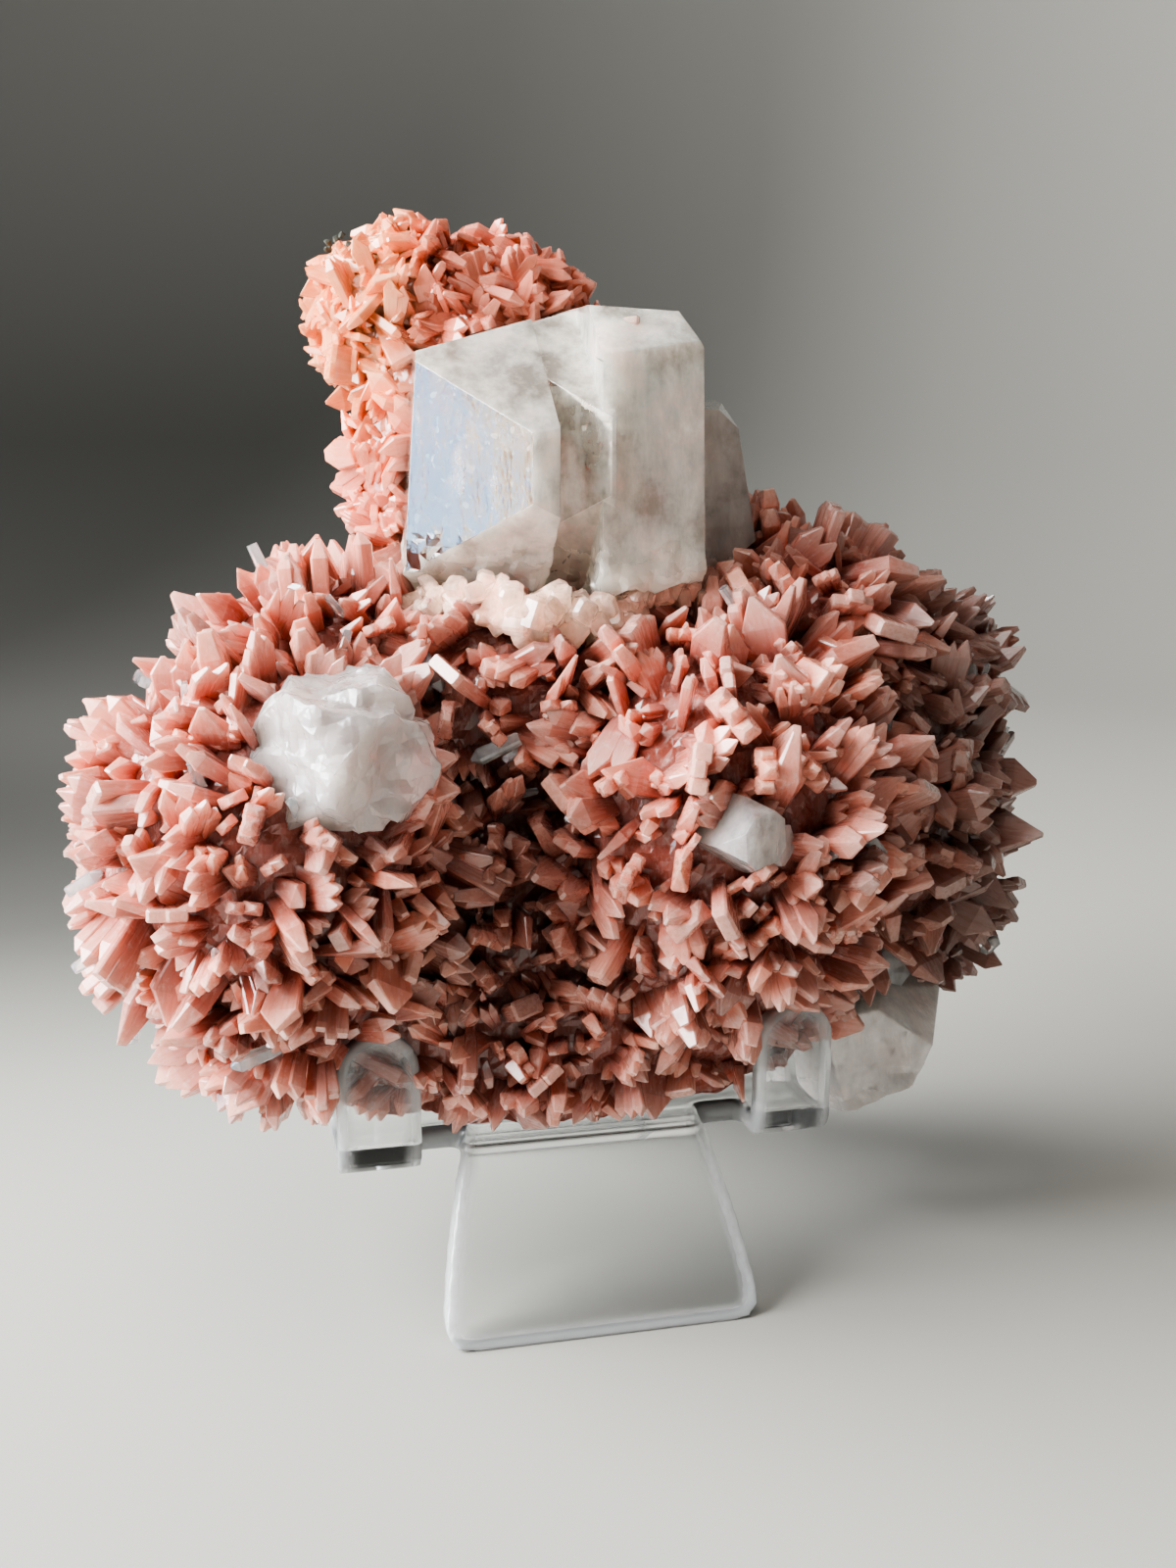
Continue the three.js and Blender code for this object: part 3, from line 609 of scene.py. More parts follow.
def add_veils(flakes, node, count, sizes, gather, pink):
    """Flakes in a few nearly parallel sets inside a crystal, most of them near its root."""
    shell = crystal_shells[node]
    low, high = (np.array(corner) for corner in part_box(node))
    sets = [unit(random.normal(0, 1, 3)) for _ in range(4)]
    made = 0
    while made < count:
        spot = low + (high - low) * random.random(3)
        size = between(*sizes) * between(0.4, 1.0)
        height = (high[2] - spot[2]) / (high[2] - low[2])
        if random.random() > 0.12 + height ** gather:
            continue
        depth = shell.find_nearest(Vector(spot))[3]
        if depth < (0.5 * size + 0.25) * MM or not is_inside(shell, Vector(spot)):
            continue
        made += 1
        facing = unit(sets[made % 4] + random.normal(0, 0.18, 3))
        first = unit(np.cross(facing, random.normal(0, 1, 3)))
        tone = between(0.8, 1.0) if random.random() < pink else between(0.0, 0.6)
        flakes.add(to_stand_frame(spot), facing, first, size, FLAKE_NARROWING, tone)


def add_sparks(flakes):
    """Short white flakes under the large crystal's front faces, all drawn out one way: painted glints."""
    for x, z in SPARKS:
        hit, normal = front_hit(x, z)
        if not hit:
            continue
        facing = np.array(normal)
        middle = to_stand_frame(hit) - facing * SPARK_DEPTH
        first = unit(np.cross(np.cross(facing, SPARK_WAY), facing))
        flakes.add(middle, facing, first, between(1.0, 1.9), between(0.2, 0.36), 0.0)


def build_veils(material):
    flakes = Flakes()
    for veil in VEILS:
        add_veils(flakes, *veil)
    add_sparks(flakes)
    piece = mesh_object("crystal_veils_and_glints", flakes.points, flakes.faces)
    add_attribute(piece.data, "tone", flakes.tones)
    finish_piece(piece, material, "clear_apophyllite")


# A grain's section, and its rings: height and width as shares of its size
GRAIN_SECTION = [(1, 0.2), (0.2, 1), (-0.2, 1), (-1, 0.2), (-1, -0.2), (-0.2, -1), (0.2, -1), (1, -0.2)]
GRAIN_COUNT = 46
LONG_GRAIN = ((-2.2, 0.8), (0.25, 1.0), (0.75, 0.25))
SHORT_GRAIN = ((-0.7, 0.9), (0.34, 1.0), (0.52, 0.7))


def add_grain(points, faces, root, axis, size, rings):
    """A small apophyllite: a square prism with worn corners and a blunt pyramid."""
    first = unit(np.cross(axis, random.normal(0, 1, 3)))
    second = np.cross(axis, first)
    start = len(points)
    for height, wide in rings:
        for a, b in GRAIN_SECTION:
            points.append(root + (axis * height + (first * a + second * b) * (0.5 * wide)) * size)
    faces += bar_faces(start, len(GRAIN_SECTION), len(rings))


def build_grains(material):
    """Small bright apophyllites among the stilbite."""
    points, faces = [], []
    front = [index for index, lobe in enumerate(LOBES) if not lobe.tower]
    made = 0
    while made < GRAIN_COUNT:
        lobe = LOBES[front[int(random.random() * len(front))]]
        spot = unit(random.normal(0, 1, 3))
        radii = grown(lobe) + between(1.5, 4.5)
        root = spot * radii + lobe.at
        size = between(0.9, 2.1)
        hidden = any(np.linalg.norm((root - other.at) / (grown(other) + 1.5)) < 1 for other in LOBES)
        if hidden or root[1] > back_face(root[0], root[2]) - 4 or free_length(root, spot, size) is None:
            continue
        made += 1
        add_grain(points, faces, root, unit(spot / radii + random.normal(0, 0.5, 3)), size, LONG_GRAIN)
    piece = mesh_object("clear_grains", np.clip(points, BOX_LOW, BOX_HIGH), faces)
    add_attribute(piece.data, "root", np.zeros(len(points)))
    finish_piece(piece, material, "clear_apophyllite")


# Crumbly apophyllite along the large crystal's foot and at its upper right edge: start, end, spread,
# count and sizes of the grains of each row
GRAIN_ROWS = [
    ((-18, 24, 87), (-6, 13.8, 86.4), 1.0, 30, (1.4, 3.2)),
    ((-6, 13.8, 86), (5, 15, 86), 1.1, 36, (1.8, 4.2)),
    ((5, 15.6, 87.2), (16, 18.8, 88.2), 0.9, 26, (1.2, 2.8)),
    ((-9, 15.5, 84.2), (6, 14.8, 84), 0.8, 16, (1.2, 2.8)),
    ((16, 19, 88), (16.2, 38, 90), 0.9, 16, (1.2, 2.4)),
    ((8, 20, 119.4), (15.2, 23, 118.6), 0.5, 16, (0.8, 1.8)),
    ((15.2, 22, 118.4), (15.6, 36, 119), 0.5, 10, (0.8, 1.6)),
]


def build_foot(material):
    """Blocky small apophyllites grown together with the large crystal at its foot and edge."""
    points, faces = [], []
    for start, end, spread, count, sizes in GRAIN_ROWS:
        for number in range(count):
            share = (number + random.random()) / count
            root = np.array(start) * (1 - share) + np.array(end) * share + random.normal(0, spread, 3)
            axis = unit(np.array((0.0, -0.5, 0.6)) + random.normal(0, 0.5, 3))
            add_grain(points, faces, root, axis, between(*sizes), SHORT_GRAIN)
    piece = mesh_object("crystal_foot", np.clip(points, BOX_LOW, BOX_HIGH), faces)
    add_attribute(piece.data, "root", np.full(len(points), 0.3))
    finish_piece(piece, material, "clear_apophyllite")


# The druse: rounded masses, and the blades that grow out of them

Lobe = namedtuple("Lobe", "at radii size tower", defaults=(False,))

LOBES = [
    Lobe((-35, 20, 59), (18, 19, 19), 1.0),
    Lobe((-34, 18, 45), (13, 12, 12), 0.95),
    Lobe((-29, 30, 74), (12, 14, 11), 1.0),
    Lobe((-6, 31, 72), (24, 16, 14), 0.95),
    Lobe((-8, 22, 50), (15, 11, 18), 0.9),
    Lobe((18, 20, 58), (20, 19, 23), 1.0),
    Lobe((43, 34, 58), (16, 15, 22), 1.0),
    Lobe((54, 40, 72), (9, 9, 9), 0.85),
    Lobe((53, 36, 42), (9, 8, 10), 0.85),
    Lobe((32, 35, 77), (16, 15, 13), 1.0),
    Lobe((0, 19.5, 35.4), (33, 9, 10.5), 0.85),
    Lobe((-8, 46, 98), (12.5, 9, 24), 0.7, tower=True),
    Lobe((-14, 52, 121), (10.5, 10, 9.5), 0.65, tower=True),
    Lobe((3, 51, 114), (12, 8, 7), 0.65, tower=True),
    Lobe((-3, 52, 121.5), (9.5, 9, 7.5), 0.65, tower=True),
]

# The druse that the large crystal stands against
BEHIND_CRYSTAL = Lobe((6, 45.5, 95), (11, 4, 13), 0.6)

# Root, tip and width of the large blades that give the outline its points
LARGE_BLADES = [
    ((33, 40, 88), (31, 40, 99.4), 3.6),
    ((-32, 24, 84), (-32.5, 26, 95.2), 4.2),
    ((-28.6, 24, 84), (-28.9, 26, 95.4), 4.4),
    ((-23.4, 27, 85), (-24.3, 28, 96.0), 3.6),
    ((-40.5, 15, 77), (-43, 12, 87), 5.6),
    ((17.3, 19, 79), (18.6, 20, 91.6), 6.0),
    ((36.5, 30, 84), (37.9, 30, 96.4), 5.4),
    ((32.2, 27, 83), (30.7, 28, 93.6), 4.2),
    ((33, 10, 54), (40.5, 4, 57.4), 4.0),
    ((-50, 21, 57), (-60.1, 22, 54.6), 4.6),
    ((-47, 21, 66), (-55.8, 22, 67.4), 4.4),
    ((-30, 15, 38), (-31.2, 13.6, 28.3), 4.8),
    ((-1, 15.5, 34), (-1.4, 13, 26.6), 4.0),
    ((60, 40, 72), (70.2, 42, 77.2), 5.0),
    ((58, 38, 47), (67.9, 38, 44), 5.0),
    ((49, 39, 78), (54.1, 42, 89), 5.4),
    ((-48, 20, 50), (-57.5, 20, 47.2), 4.4),
    ((-42, 18, 44), (-49.6, 16, 39.4), 5.0),
    ((-8, 47, 119), (-2.6, 50, 130.6), 3.8),
    ((-11, 43, 112), (-3, 42, 124.8), 4.4),
    ((-16, 50, 127), (-17.5, 51, 134.6), 5.4),
    ((-19, 52, 125), (-25.6, 54, 128.2), 5.0),
    ((-18, 50, 117), (-24.6, 50, 118.0), 4.4),
    ((8, 48, 116), (14.6, 47, 122.3), 4.0),
]

WING_START = 33.0
WING_SLOPES = (0.68, 0.64)


def back_face(x, z):
    """Y of the druse's back behind a point, in millimetres."""
    left, right = np.maximum(0, -WING_START - x), np.maximum(0, x - WING_START)
    wing = left * WING_SLOPES[0] + right * WING_SLOPES[1]
    return back_line_y + wing + (z - LEDGE_TOP) * lean_slope


# Clear space around a hook along X, Y and Z, and above the ledge
HOOK_ROOM = (1.6, 2.4, 1.5)
LEDGE_ROOM = 0.8


def from_hook(x):
    """How far X is from the middle of the nearer hook."""
    return abs(abs(x - STAND_X) - (LEDGE_WIDTH - HOOK_WIDTH) / 2)


def meets_stand(point):
    """True in the space that the hooks and the ledge take up."""
    x, y, z = point
    beside, before, above = HOOK_ROOM
    at_hook = from_hook(x) < HOOK_WIDTH / 2 + beside and y < HOOK_Y + before and z < HOOK_TOP + above
    return at_hook or z < LEDGE_TOP + LEDGE_ROOM


# Middle and half width along X, greatest Y and least Z of the space before the large crystal's root
ROOT_SPACE = (-1.0, 18.0, 32.0, 88.0)


def hides_root(point):
    """True in front of the large crystal's root, which nothing covers."""
    x, y, z = point
    middle, half_width, back, low = ROOT_SPACE
    return abs(x - middle) < half_width and y < back and z > low


def meets_crystal(point, margin):
    """True inside a clear crystal, or within a margin of it."""
    spot = place(*point)
    return any(
        shell.find_nearest(spot)[3] < margin * MM or is_inside(shell, spot)
        for shell in crystal_shells.values()
    )

# Width of one lath, as a share of its crystal's, by the number of laths
LATH_SHARE = (1.0, 0.66, 0.48, 0.38)


class Blades:
    """Gathers stilbite laths as one mesh. Each point keeps how far along its lath it is, the
    lath's tone, and its place within the lath, which the striations follow."""

    # Height along the lath, and its width and depth there as shares of the full ones
    FOOT = ((-0.3, 0.5, 0.7), (0.3, 0.84, 0.95))
    CHAMFER = 0.13

    def __init__(self):
        self.points = []
        self.faces = []
        self.reach = []
        self.tone = []
        self.grain = []

    def add_lath(self, root, axes, size, tip, tone):
        """A chamfered bar with a tip: its shoulder's height, and its end's width, depth and skew."""
        along, across, through = axes
        length, width, thickness = size
        shoulder, end_width, end_depth, skew = tip
        rings = [(*ring, 0.0) for ring in self.FOOT]
        rings += [(shoulder, 1.0, 1.0, skew * 0.25), (1.0, end_width, end_depth, skew)]
        start = len(self.points)
        seed = random.random() * 50
        for height, wide, deep, shift in rings:
            half_width = width / 2 * wide
            half_depth = thickness / 2 * deep
            cut = self.CHAMFER * min(width * wide, thickness * deep)
            corners = [
                (half_width, half_depth - cut), (half_width - cut, half_depth),
                (cut - half_width, half_depth), (-half_width, half_depth - cut),
                (-half_width, cut - half_depth), (cut - half_width, -half_depth),
                (half_width - cut, -half_depth), (half_width, cut - half_depth),
            ]
            for a, b in corners:
                self.points.append(
                    root + along * (height * length) + across * (a + shift * width) + through * b)
                self.reach.append(max(0.0, height))
                self.tone.append(tone)
                self.grain.append((a + seed, b + seed, height * length))
        self.faces += bar_faces(start, len(corners), len(rings))

    def add_crystal(self, root, axis, size, twist, tone, laths, fan):
        """Laths grown side by side from one root, which spread like a sheaf toward their tips."""
        length, width, thickness = size
        helper = np.array((0.0, 0.0, 1.0)) if abs(axis[2]) < 0.9 else np.array((1.0, 0.0, 0.0))
        side = unit(np.cross(axis, helper))
        across = side * math.cos(twist) + np.cross(axis, side) * math.sin(twist)
        through = np.cross(axis, across)
        style = random.random()
        lean = between(-0.25, 0.25)
        for lath in range(laths):
            offset = (lath - (laths - 1) / 2) / laths
            turn = offset * fan
            axes = (
                axis * math.cos(turn) + across * math.sin(turn),
                across * math.cos(turn) - axis * math.sin(turn),
                through,
            )
            start = root + across * (offset * width * 0.8) + through * (between(-0.12, 0.12) * thickness)
            reach = length * (1 - abs(offset) * between(0.1, 0.6)) * between(0.88, 1.0)
            share = width * LATH_SHARE[laths - 1] * between(0.9, 1.1)
            depth = thickness * between(0.8, 1.1)
            tip = self.choose_tip(style, share / reach, lean + offset * 0.2)
            self.add_lath(start, axes, (reach, share, depth), tip, limited(tone + between(-0.1, 0.1)))

    @staticmethod
    def choose_tip(style, slimness, lean):
        """A gable, a chisel or a flat top."""
        if style < 0.8:
            shoulder = limited(1 - between(0.5, 1.0) * slimness, 0.35, 0.85)
            return shoulder, between(0.03, 0.16), between(0.25, 0.6), lean
        if style < 0.93:
            return between(0.5, 0.7), between(0.15, 0.4), between(0.1, 0.3), lean
        return between(0.88, 0.95), between(0.7, 0.9), between(0.6, 0.85), lean * 0.3

    def build(self, name):
        piece = mesh_object(name, np.clip(self.points, BOX_LOW, BOX_HIGH), self.faces)
        add_attribute(piece.data, "reach", self.reach)
        add_attribute(piece.data, "tone", self.tone)
        add_attribute(piece.data, "grain", self.grain, "FLOAT_VECTOR")
        return piece


def fibonacci_point(i, count):
    """Point i of count spread evenly over a unit sphere."""
    height = 1 - 2 * (i + 0.5) / count
    around = i * math.pi * (3 - math.sqrt(5))
    ring = math.sqrt(1 - height * height)
    return np.array((ring * math.cos(around), ring * math.sin(around), height))


def ellipsoid_area(radii):
    """The surface of an ellipsoid, by the usual close formula."""
    a, b, c = radii
    power = 1.6
    mean = ((a * b) ** power + (a * c) ** power + (b * c) ** power) / 3
    return 4 * math.pi * mean ** (1 / power)

# The sizes of stilbite that cover a lobe: spacing, length, width and depth in millimetres, the
# stray of their direction, and the most laths in one crystal
Layer = namedtuple("Layer", "spacing length width depth stray laths")

LAYERS = [
    Layer(6.6, (7.0, 10.2), (3.6, 6.6), 0.42, 0.5, 3),
    Layer(5.0, (5.4, 8.2), (2.8, 5.0), 0.46, 0.6, 3),
    Layer(3.7, (2.8, 4.8), (1.8, 3.2), 0.55, 0.65, 2),
]
MASS_GROWTH = 2.2

# Directions tried for a crystal before its place is left bare
TRIES = 4


def grown(lobe):
    """A lobe's radii with the small crystals that fill the gaps at its surface."""
    return np.array(lobe.radii, float) + MASS_GROWTH * lobe.size


def free_length(root, axis, length):
    """The length that a crystal can reach there without meeting the stand or a clear crystal."""
    for part in (1.0, 0.75, 0.5, 0.3):
        tip = root + axis * length * part
        if tip[1] > back_face(tip[0], tip[2]) + 1.5:
            continue
        if np.any(tip < BOX_LOW + 0.6) or np.any(tip > BOX_HIGH - 0.6):
            continue
        stretch = [root + (tip - root) * share for share in (0.4, 0.7, 1.0)]
        if not (meets_stand(tip) or hides_root(tip) or any(meets_crystal(p, 0.3) for p in stretch)):
            return length * part
    return None


def grow_layer(blades, index, layer):
    """Crystals spread evenly over the open part of a lobe."""
    lobe = LOBES[index]
    radii = grown(lobe)
    spacing = layer.spacing * lobe.size
    count = round(ellipsoid_area(radii) / spacing ** 2)
    for i in range(count):
        spot = unit(fibonacci_point(i, count) + random.normal(0, 0.3 * spacing / radii[0], 3))
        root = spot * radii + lobe.at
        if any(np.linalg.norm((root - other.at) / grown(other)) < 0.97
               for j, other in enumerate(LOBES) if j != index):
            continue
        if root[1] > back_face(root[0], root[2]) - 1.0:
            continue
        outward = unit(spot / radii)
        wanted = between(*layer.length) * lobe.size
        for _ in range(TRIES):
            axis = unit(outward + random.normal(0, layer.stray, 3))
            if np.dot(axis, outward) < 0.25:
                axis = unit(axis + outward * 0.7)
            if lobe.tower:
                axis = unit(unit(np.cross(outward, axis)) + outward * between(0.15, 0.75))
            length = free_length(root, axis, wanted)
            if length is not None:
                break
        if length is None:
            continue
        width = between(*layer.width) * lobe.size
        size = (length, width, width * layer.depth * between(0.75, 1.2))
        laths = 1 + int(random.random() * layer.laths)
        tone = limited(random.normal(0.6, 0.22))
        fan = between(0.06, 0.34) if laths > 1 else 0.0
        blades.add_crystal(root, axis, size, between(0, math.pi), tone, laths, fan)


def grow_large(blades):
    for root, tip, width in LARGE_BLADES:
        start = np.array(root, float)
        axis = np.array(tip, float) - start
        size = (np.linalg.norm(axis), width, width * 0.5)
        blades.add_crystal(start, unit(axis), size, between(-0.4, 0.4), between(0.6, 0.9), 2, 0.12)


def druse_mass():
    """The rounded masses under the crystals, joined and roughened."""
    parts = []
    for number, lobe in enumerate(LOBES + [BEHIND_CRYSTAL]):
        mesh = bpy.data.meshes.new(f"lobe_{number}")
        with edited(mesh) as work:
            bmesh.ops.create_icosphere(work, subdivisions=4, radius=1.0)
        part = new_object(mesh.name, mesh)
        set_coordinates(part, to_row_frame(vertex_values(part, "co") * grown(lobe) + lobe.at))
        parts.append(part)
    mass = merge_objects("stilbite_mass", parts)
    apply_modifier(mass, "REMESH", mode="VOXEL", voxel_size=1.0 * MM)
    co = vertex_values(mass, "co")
    lumps = np.array([
        noise.noise(Vector(p) * 260) * 0.9 + noise.noise(Vector(p) * 700) * 0.5 for p in co
    ])
    co = co + vertex_values(mass, "normal") * (lumps * MM)[:, None]
    ragged = np.array([noise.noise(Vector(p) * 180) * 0.8 for p in co])
    local = to_stand_frame(co)
    x, y, z = local.T
    y[:] = np.minimum(y, back_face(x, z) - 0.4 + np.minimum(0, ragged))
    at_hook = (from_hook(x) < HOOK_WIDTH / 2 + 0.6) & (z < HOOK_TOP + 1)
    y[at_hook] = np.maximum(y[at_hook], HOOK_Y + SHEET / 2 + GAP)
    z[:] = np.maximum(z, LEDGE_TOP + GAP)
    set_coordinates(mass, to_row_frame(local))
    # The mass shows between the blades in their dark root colour, which is partly painted shade
    add_attribute(mass.data, "reach", np.full(len(local), 0.1))
    add_attribute(mass.data, "tone", np.full(len(local), 0.6))
    add_attribute(mass.data, "grain", local, "FLOAT_VECTOR")
    return mass


# Where the tower's bare rim, whose orange is partly painted glow, its paler stilbite and the painted
# shade of the right side begin, and the middle of the gully between the lobes, which is painted
# darker, and its reach, along X and Z
RIM_AT = (-15.0, 112.0)
RIM_FOOT = 100.0
PALE_FROM = (24.0, 88.0)
RIGHT_SHADE_FROM = 36.0
GULLY_AT = (-7.0, 52.0)
GULLY_REACH = (7.0, 19.0)


def mark_zones(piece):
    """Marks the bare, fibrous orange rim at the tower's upper left, whose orange is partly painted glow
    of light through it, the tower's paler stilbite, and painted shade: darker, greyer stilbite on the
    right side and in the gully between the two lobes, with the gully darkened once more."""
    x, _, z = to_stand_frame(vertex_values(piece, "co")).T
    edge = np.clip((RIM_AT[0] - x) / 5.0 + (z - RIM_AT[1]) / 30.0, 0, 1)
    away = ((x - GULLY_AT[0]) / GULLY_REACH[0]) ** 2 + ((z - GULLY_AT[1]) / GULLY_REACH[1]) ** 2
    gully = np.exp(-away)
    zones = {
        # The rim's orange, partly its own and partly painted glow
        "fibrous_rim_and_glow": edge * rise(z, RIM_FOOT, 12.0) * 0.8,
        "pale": rise(z, PALE_FROM[1], 8.0) * rise(x, PALE_FROM[0], -4.0) * 0.55,
        # Painted shade on the right side and in the gully
        "painted_shade": np.maximum(rise(x, RIGHT_SHADE_FROM, 18.0) * 0.75, gully * 0.5),
        # Painted shade of the gully, applied once more by multiplying
        "deep": gully,
    }
    for name, values in zones.items():
        add_attribute(piece.data, name, values)


def build_druse(material):
    groups = {
        "stilbite_left": [0, 1, 2],
        "stilbite_right": [5, 6, 7, 8, 9],
        "stilbite_middle": [3, 4, 10],
        "stilbite_tower": [11, 12, 13, 14],
    }
    for name, members in groups.items():
        blades = Blades()
        for index in members:
            for layer in LAYERS:
                grow_layer(blades, index, layer)
        if name == "stilbite_middle":
            grow_large(blades)
        piece = blades.build(name)
        mark_zones(piece)
        finish_piece(piece, material, "stilbite", "stilbite_druse")
    mass = druse_mass()
    mark_zones(mass)
    finish_piece(mass, material, "stilbite", "stilbite_druse")


def chipped(point, scale):
    """Height of flat, tilted chips at a point, as a break across rock leaves them."""
    middle = noise.voronoi(point * scale)[1][0]
    tilt = noise.noise_vector(middle * 5.3)
    return (point * scale - middle).dot(tilt) + noise.noise(middle * 3.1)


# Middle and reach of the patches of rock crumbs at the tower's upper left rim
CRUMB_PATCHES = [((-22.6, 50, 128.6), 2.4, 26), ((-24.6, 50, 121.6), 1.6, 12)]


def build_crumbs(material):
    """Crumbs of basalt that stuck to the druse at the tower's rim."""
    mesh = bpy.data.meshes.new("basalt_crumbs")
    with edited(mesh) as merged:
        for middle, reach, count in CRUMB_PATCHES:
            for _ in range(count):
                spot = np.array(middle) + random.normal(0, reach / 2, 3)
                size = between(0.5, 1.3)
                grain = bmesh.ops.create_icosphere(merged, subdivisions=1, radius=size / 2)
                for vertex in grain["verts"]:
                    rough = Vector(random.normal(0, 0.12 * size, 3))
                    vertex.co = place(*(Vector(spot) + vertex.co + rough))
    finish_piece(new_object("basalt_crumbs", mesh), material, "basalt")


def build_plate(material):
    """The basalt plate, broken into chips all over."""
    plate = copy_of_node("basalt_plate", "basalt_matrix")
    apply_modifier(plate, "REMESH", mode="VOXEL", voxel_size=0.8 * MM)
    co = vertex_values(plate, "co")
    depth = np.array([
        min(0.0, chipped(Vector(p), 120) * 1.3 + chipped(Vector(p), 380) * 0.45
            + noise.noise(Vector(p) * 900) * 0.2 - 0.7)
        for p in co
    ])
    set_coordinates(plate, co + vertex_values(plate, "normal") * (depth * MM)[:, None])
    plate.data.shade_flat()
    finish_piece(plate, material, "basalt", "basalt_matrix")


# The stand, bent from one sheet whose edges were polished round

BEND_STEPS = 12
ARCH_STEPS = 20


def bent_line(line):
    """The sheet's middle line in Y and Z with its bends rounded."""
    points = [Vector(p) for p in line]
    middle = [points[0]]
    for before, here, after in zip(points, points[1:], points[2:]):
        back = (before - here).normalized()
        ahead = (after - here).normalized()
        half = math.acos(max(-1.0, min(1.0, back.dot(ahead)))) / 2
        run = BEND_RADIUS / math.tan(half)
        start, end = here + back * run, here + ahead * run
        for step in range(BEND_STEPS + 1):
            t = step / BEND_STEPS
            middle.append(start * (1 - t) ** 2 + here * (2 * t * (1 - t)) + end * t ** 2)
    middle.append(points[-1])
    return middle


def bent_sheet(name, line, width):
    """A solid sheet that follows a line of Y, Z points, with its width along X."""
    middle = bent_line(line)
    left, right = [], []
    for i, point in enumerate(middle):
        along = (middle[min(i + 1, len(middle) - 1)] - middle[max(i - 1, 0)]).normalized()
        across = Vector((-along.y, along.x)) * (SHEET / 2)
        left.append(point + across)
        right.append(point - across)
    outline = left + right[::-1]
    sides = (STAND_X - width / 2, STAND_X + width / 2)
    return prism(name, [(x, p.x, p.y) for x in sides for p in outline], len(outline))


def prism(name, vertices, count):
    """A closed solid between two outlines that have the same count of points."""
    faces = [tuple(range(count)), tuple(range(2 * count - 1, count - 1, -1))]
    faces += [(i, count + i, count + (i + 1) % count, (i + 1) % count) for i in range(count)]
    thing = mesh_object(name, vertices, faces)
    with edited(thing.data) as work:
        bmesh.ops.recalc_face_normals(work, faces=work.faces)
        bmesh.ops.triangulate(work, faces=[f for f in work.faces if len(f.verts) > 4])
    return thing


CUT_REACH = 150


def cut_sheet(name, line, width, outline):
    """A bent sheet that is cut to an outline in X and Z, seen from the front."""
    sheet = bent_sheet(name, line, width)
    vertices = [(STAND_X + x, y, z) for y in (-CUT_REACH, CUT_REACH) for x, z in outline]
    cutter = prism("outline", vertices, len(outline))
    apply_modifier(sheet, "BOOLEAN", operation="INTERSECT", object=cutter, solver="EXACT")
    bpy.data.objects.remove(cutter)
    return sheet


def curve_points(start, control, end, steps=10):
    """Points along a quadratic curve, without its start."""
    return [
        tuple((1 - t) ** 2 * s + 2 * t * (1 - t) * c + t ** 2 * e for s, c, e in zip(start, control, end))
        for t in (step / steps for step in range(1, steps + 1))
    ]


def hook_outline(side):
    middle = side * (LEDGE_WIDTH - HOOK_WIDTH) / 2
    radius = HOOK_WIDTH / 2
    outline = [(middle - radius, LEDGE_TOP - SHEET), (middle + radius, LEDGE_TOP - SHEET)]
    for step in range(ARCH_STEPS + 1):
        turn = math.pi * step / ARCH_STEPS
        outline.append((middle + radius * math.cos(turn), HOOK_TOP - radius + radius * math.sin(turn)))
    return outline


def tongue_outline():
    top = LEDGE_TOP + 1
    corner = 3
    half_top, half_foot = TONGUE_WIDTH / 2, FOOT_WIDTH / 2
    right = [(half_top, top)]
    right += curve_points(right[-1], (half_foot - 1.2, top * 0.52), (half_foot, corner))
    right += curve_points(right[-1], (half_foot, 0), (half_foot - corner, 0))
    return right + [(-x, z) for x, z in right[::-1]]


def rest_outline():
    foot, head = LEDGE_WIDTH / 2, REST_WIDTH / 2
    right = [(foot, 0), (foot, LEDGE_TOP + 5)]
    right += curve_points(right[-1], (foot - 1, LEDGE_TOP + 14), (head, SHOULDER_TOP))
    return right + [(-x, z) for x, z in right[::-1]]

# Y where the hooks and the tongue, and where the rest, end under the ledge, and how far the sheets
# reach below the table before they are cut
LEDGE_JOINT = 17.0
REST_START = 14.5
DROP = 4.0
ABOVE_TABLE = [(-40, 0), (40, 0), (40, 120), (-40, 120)]


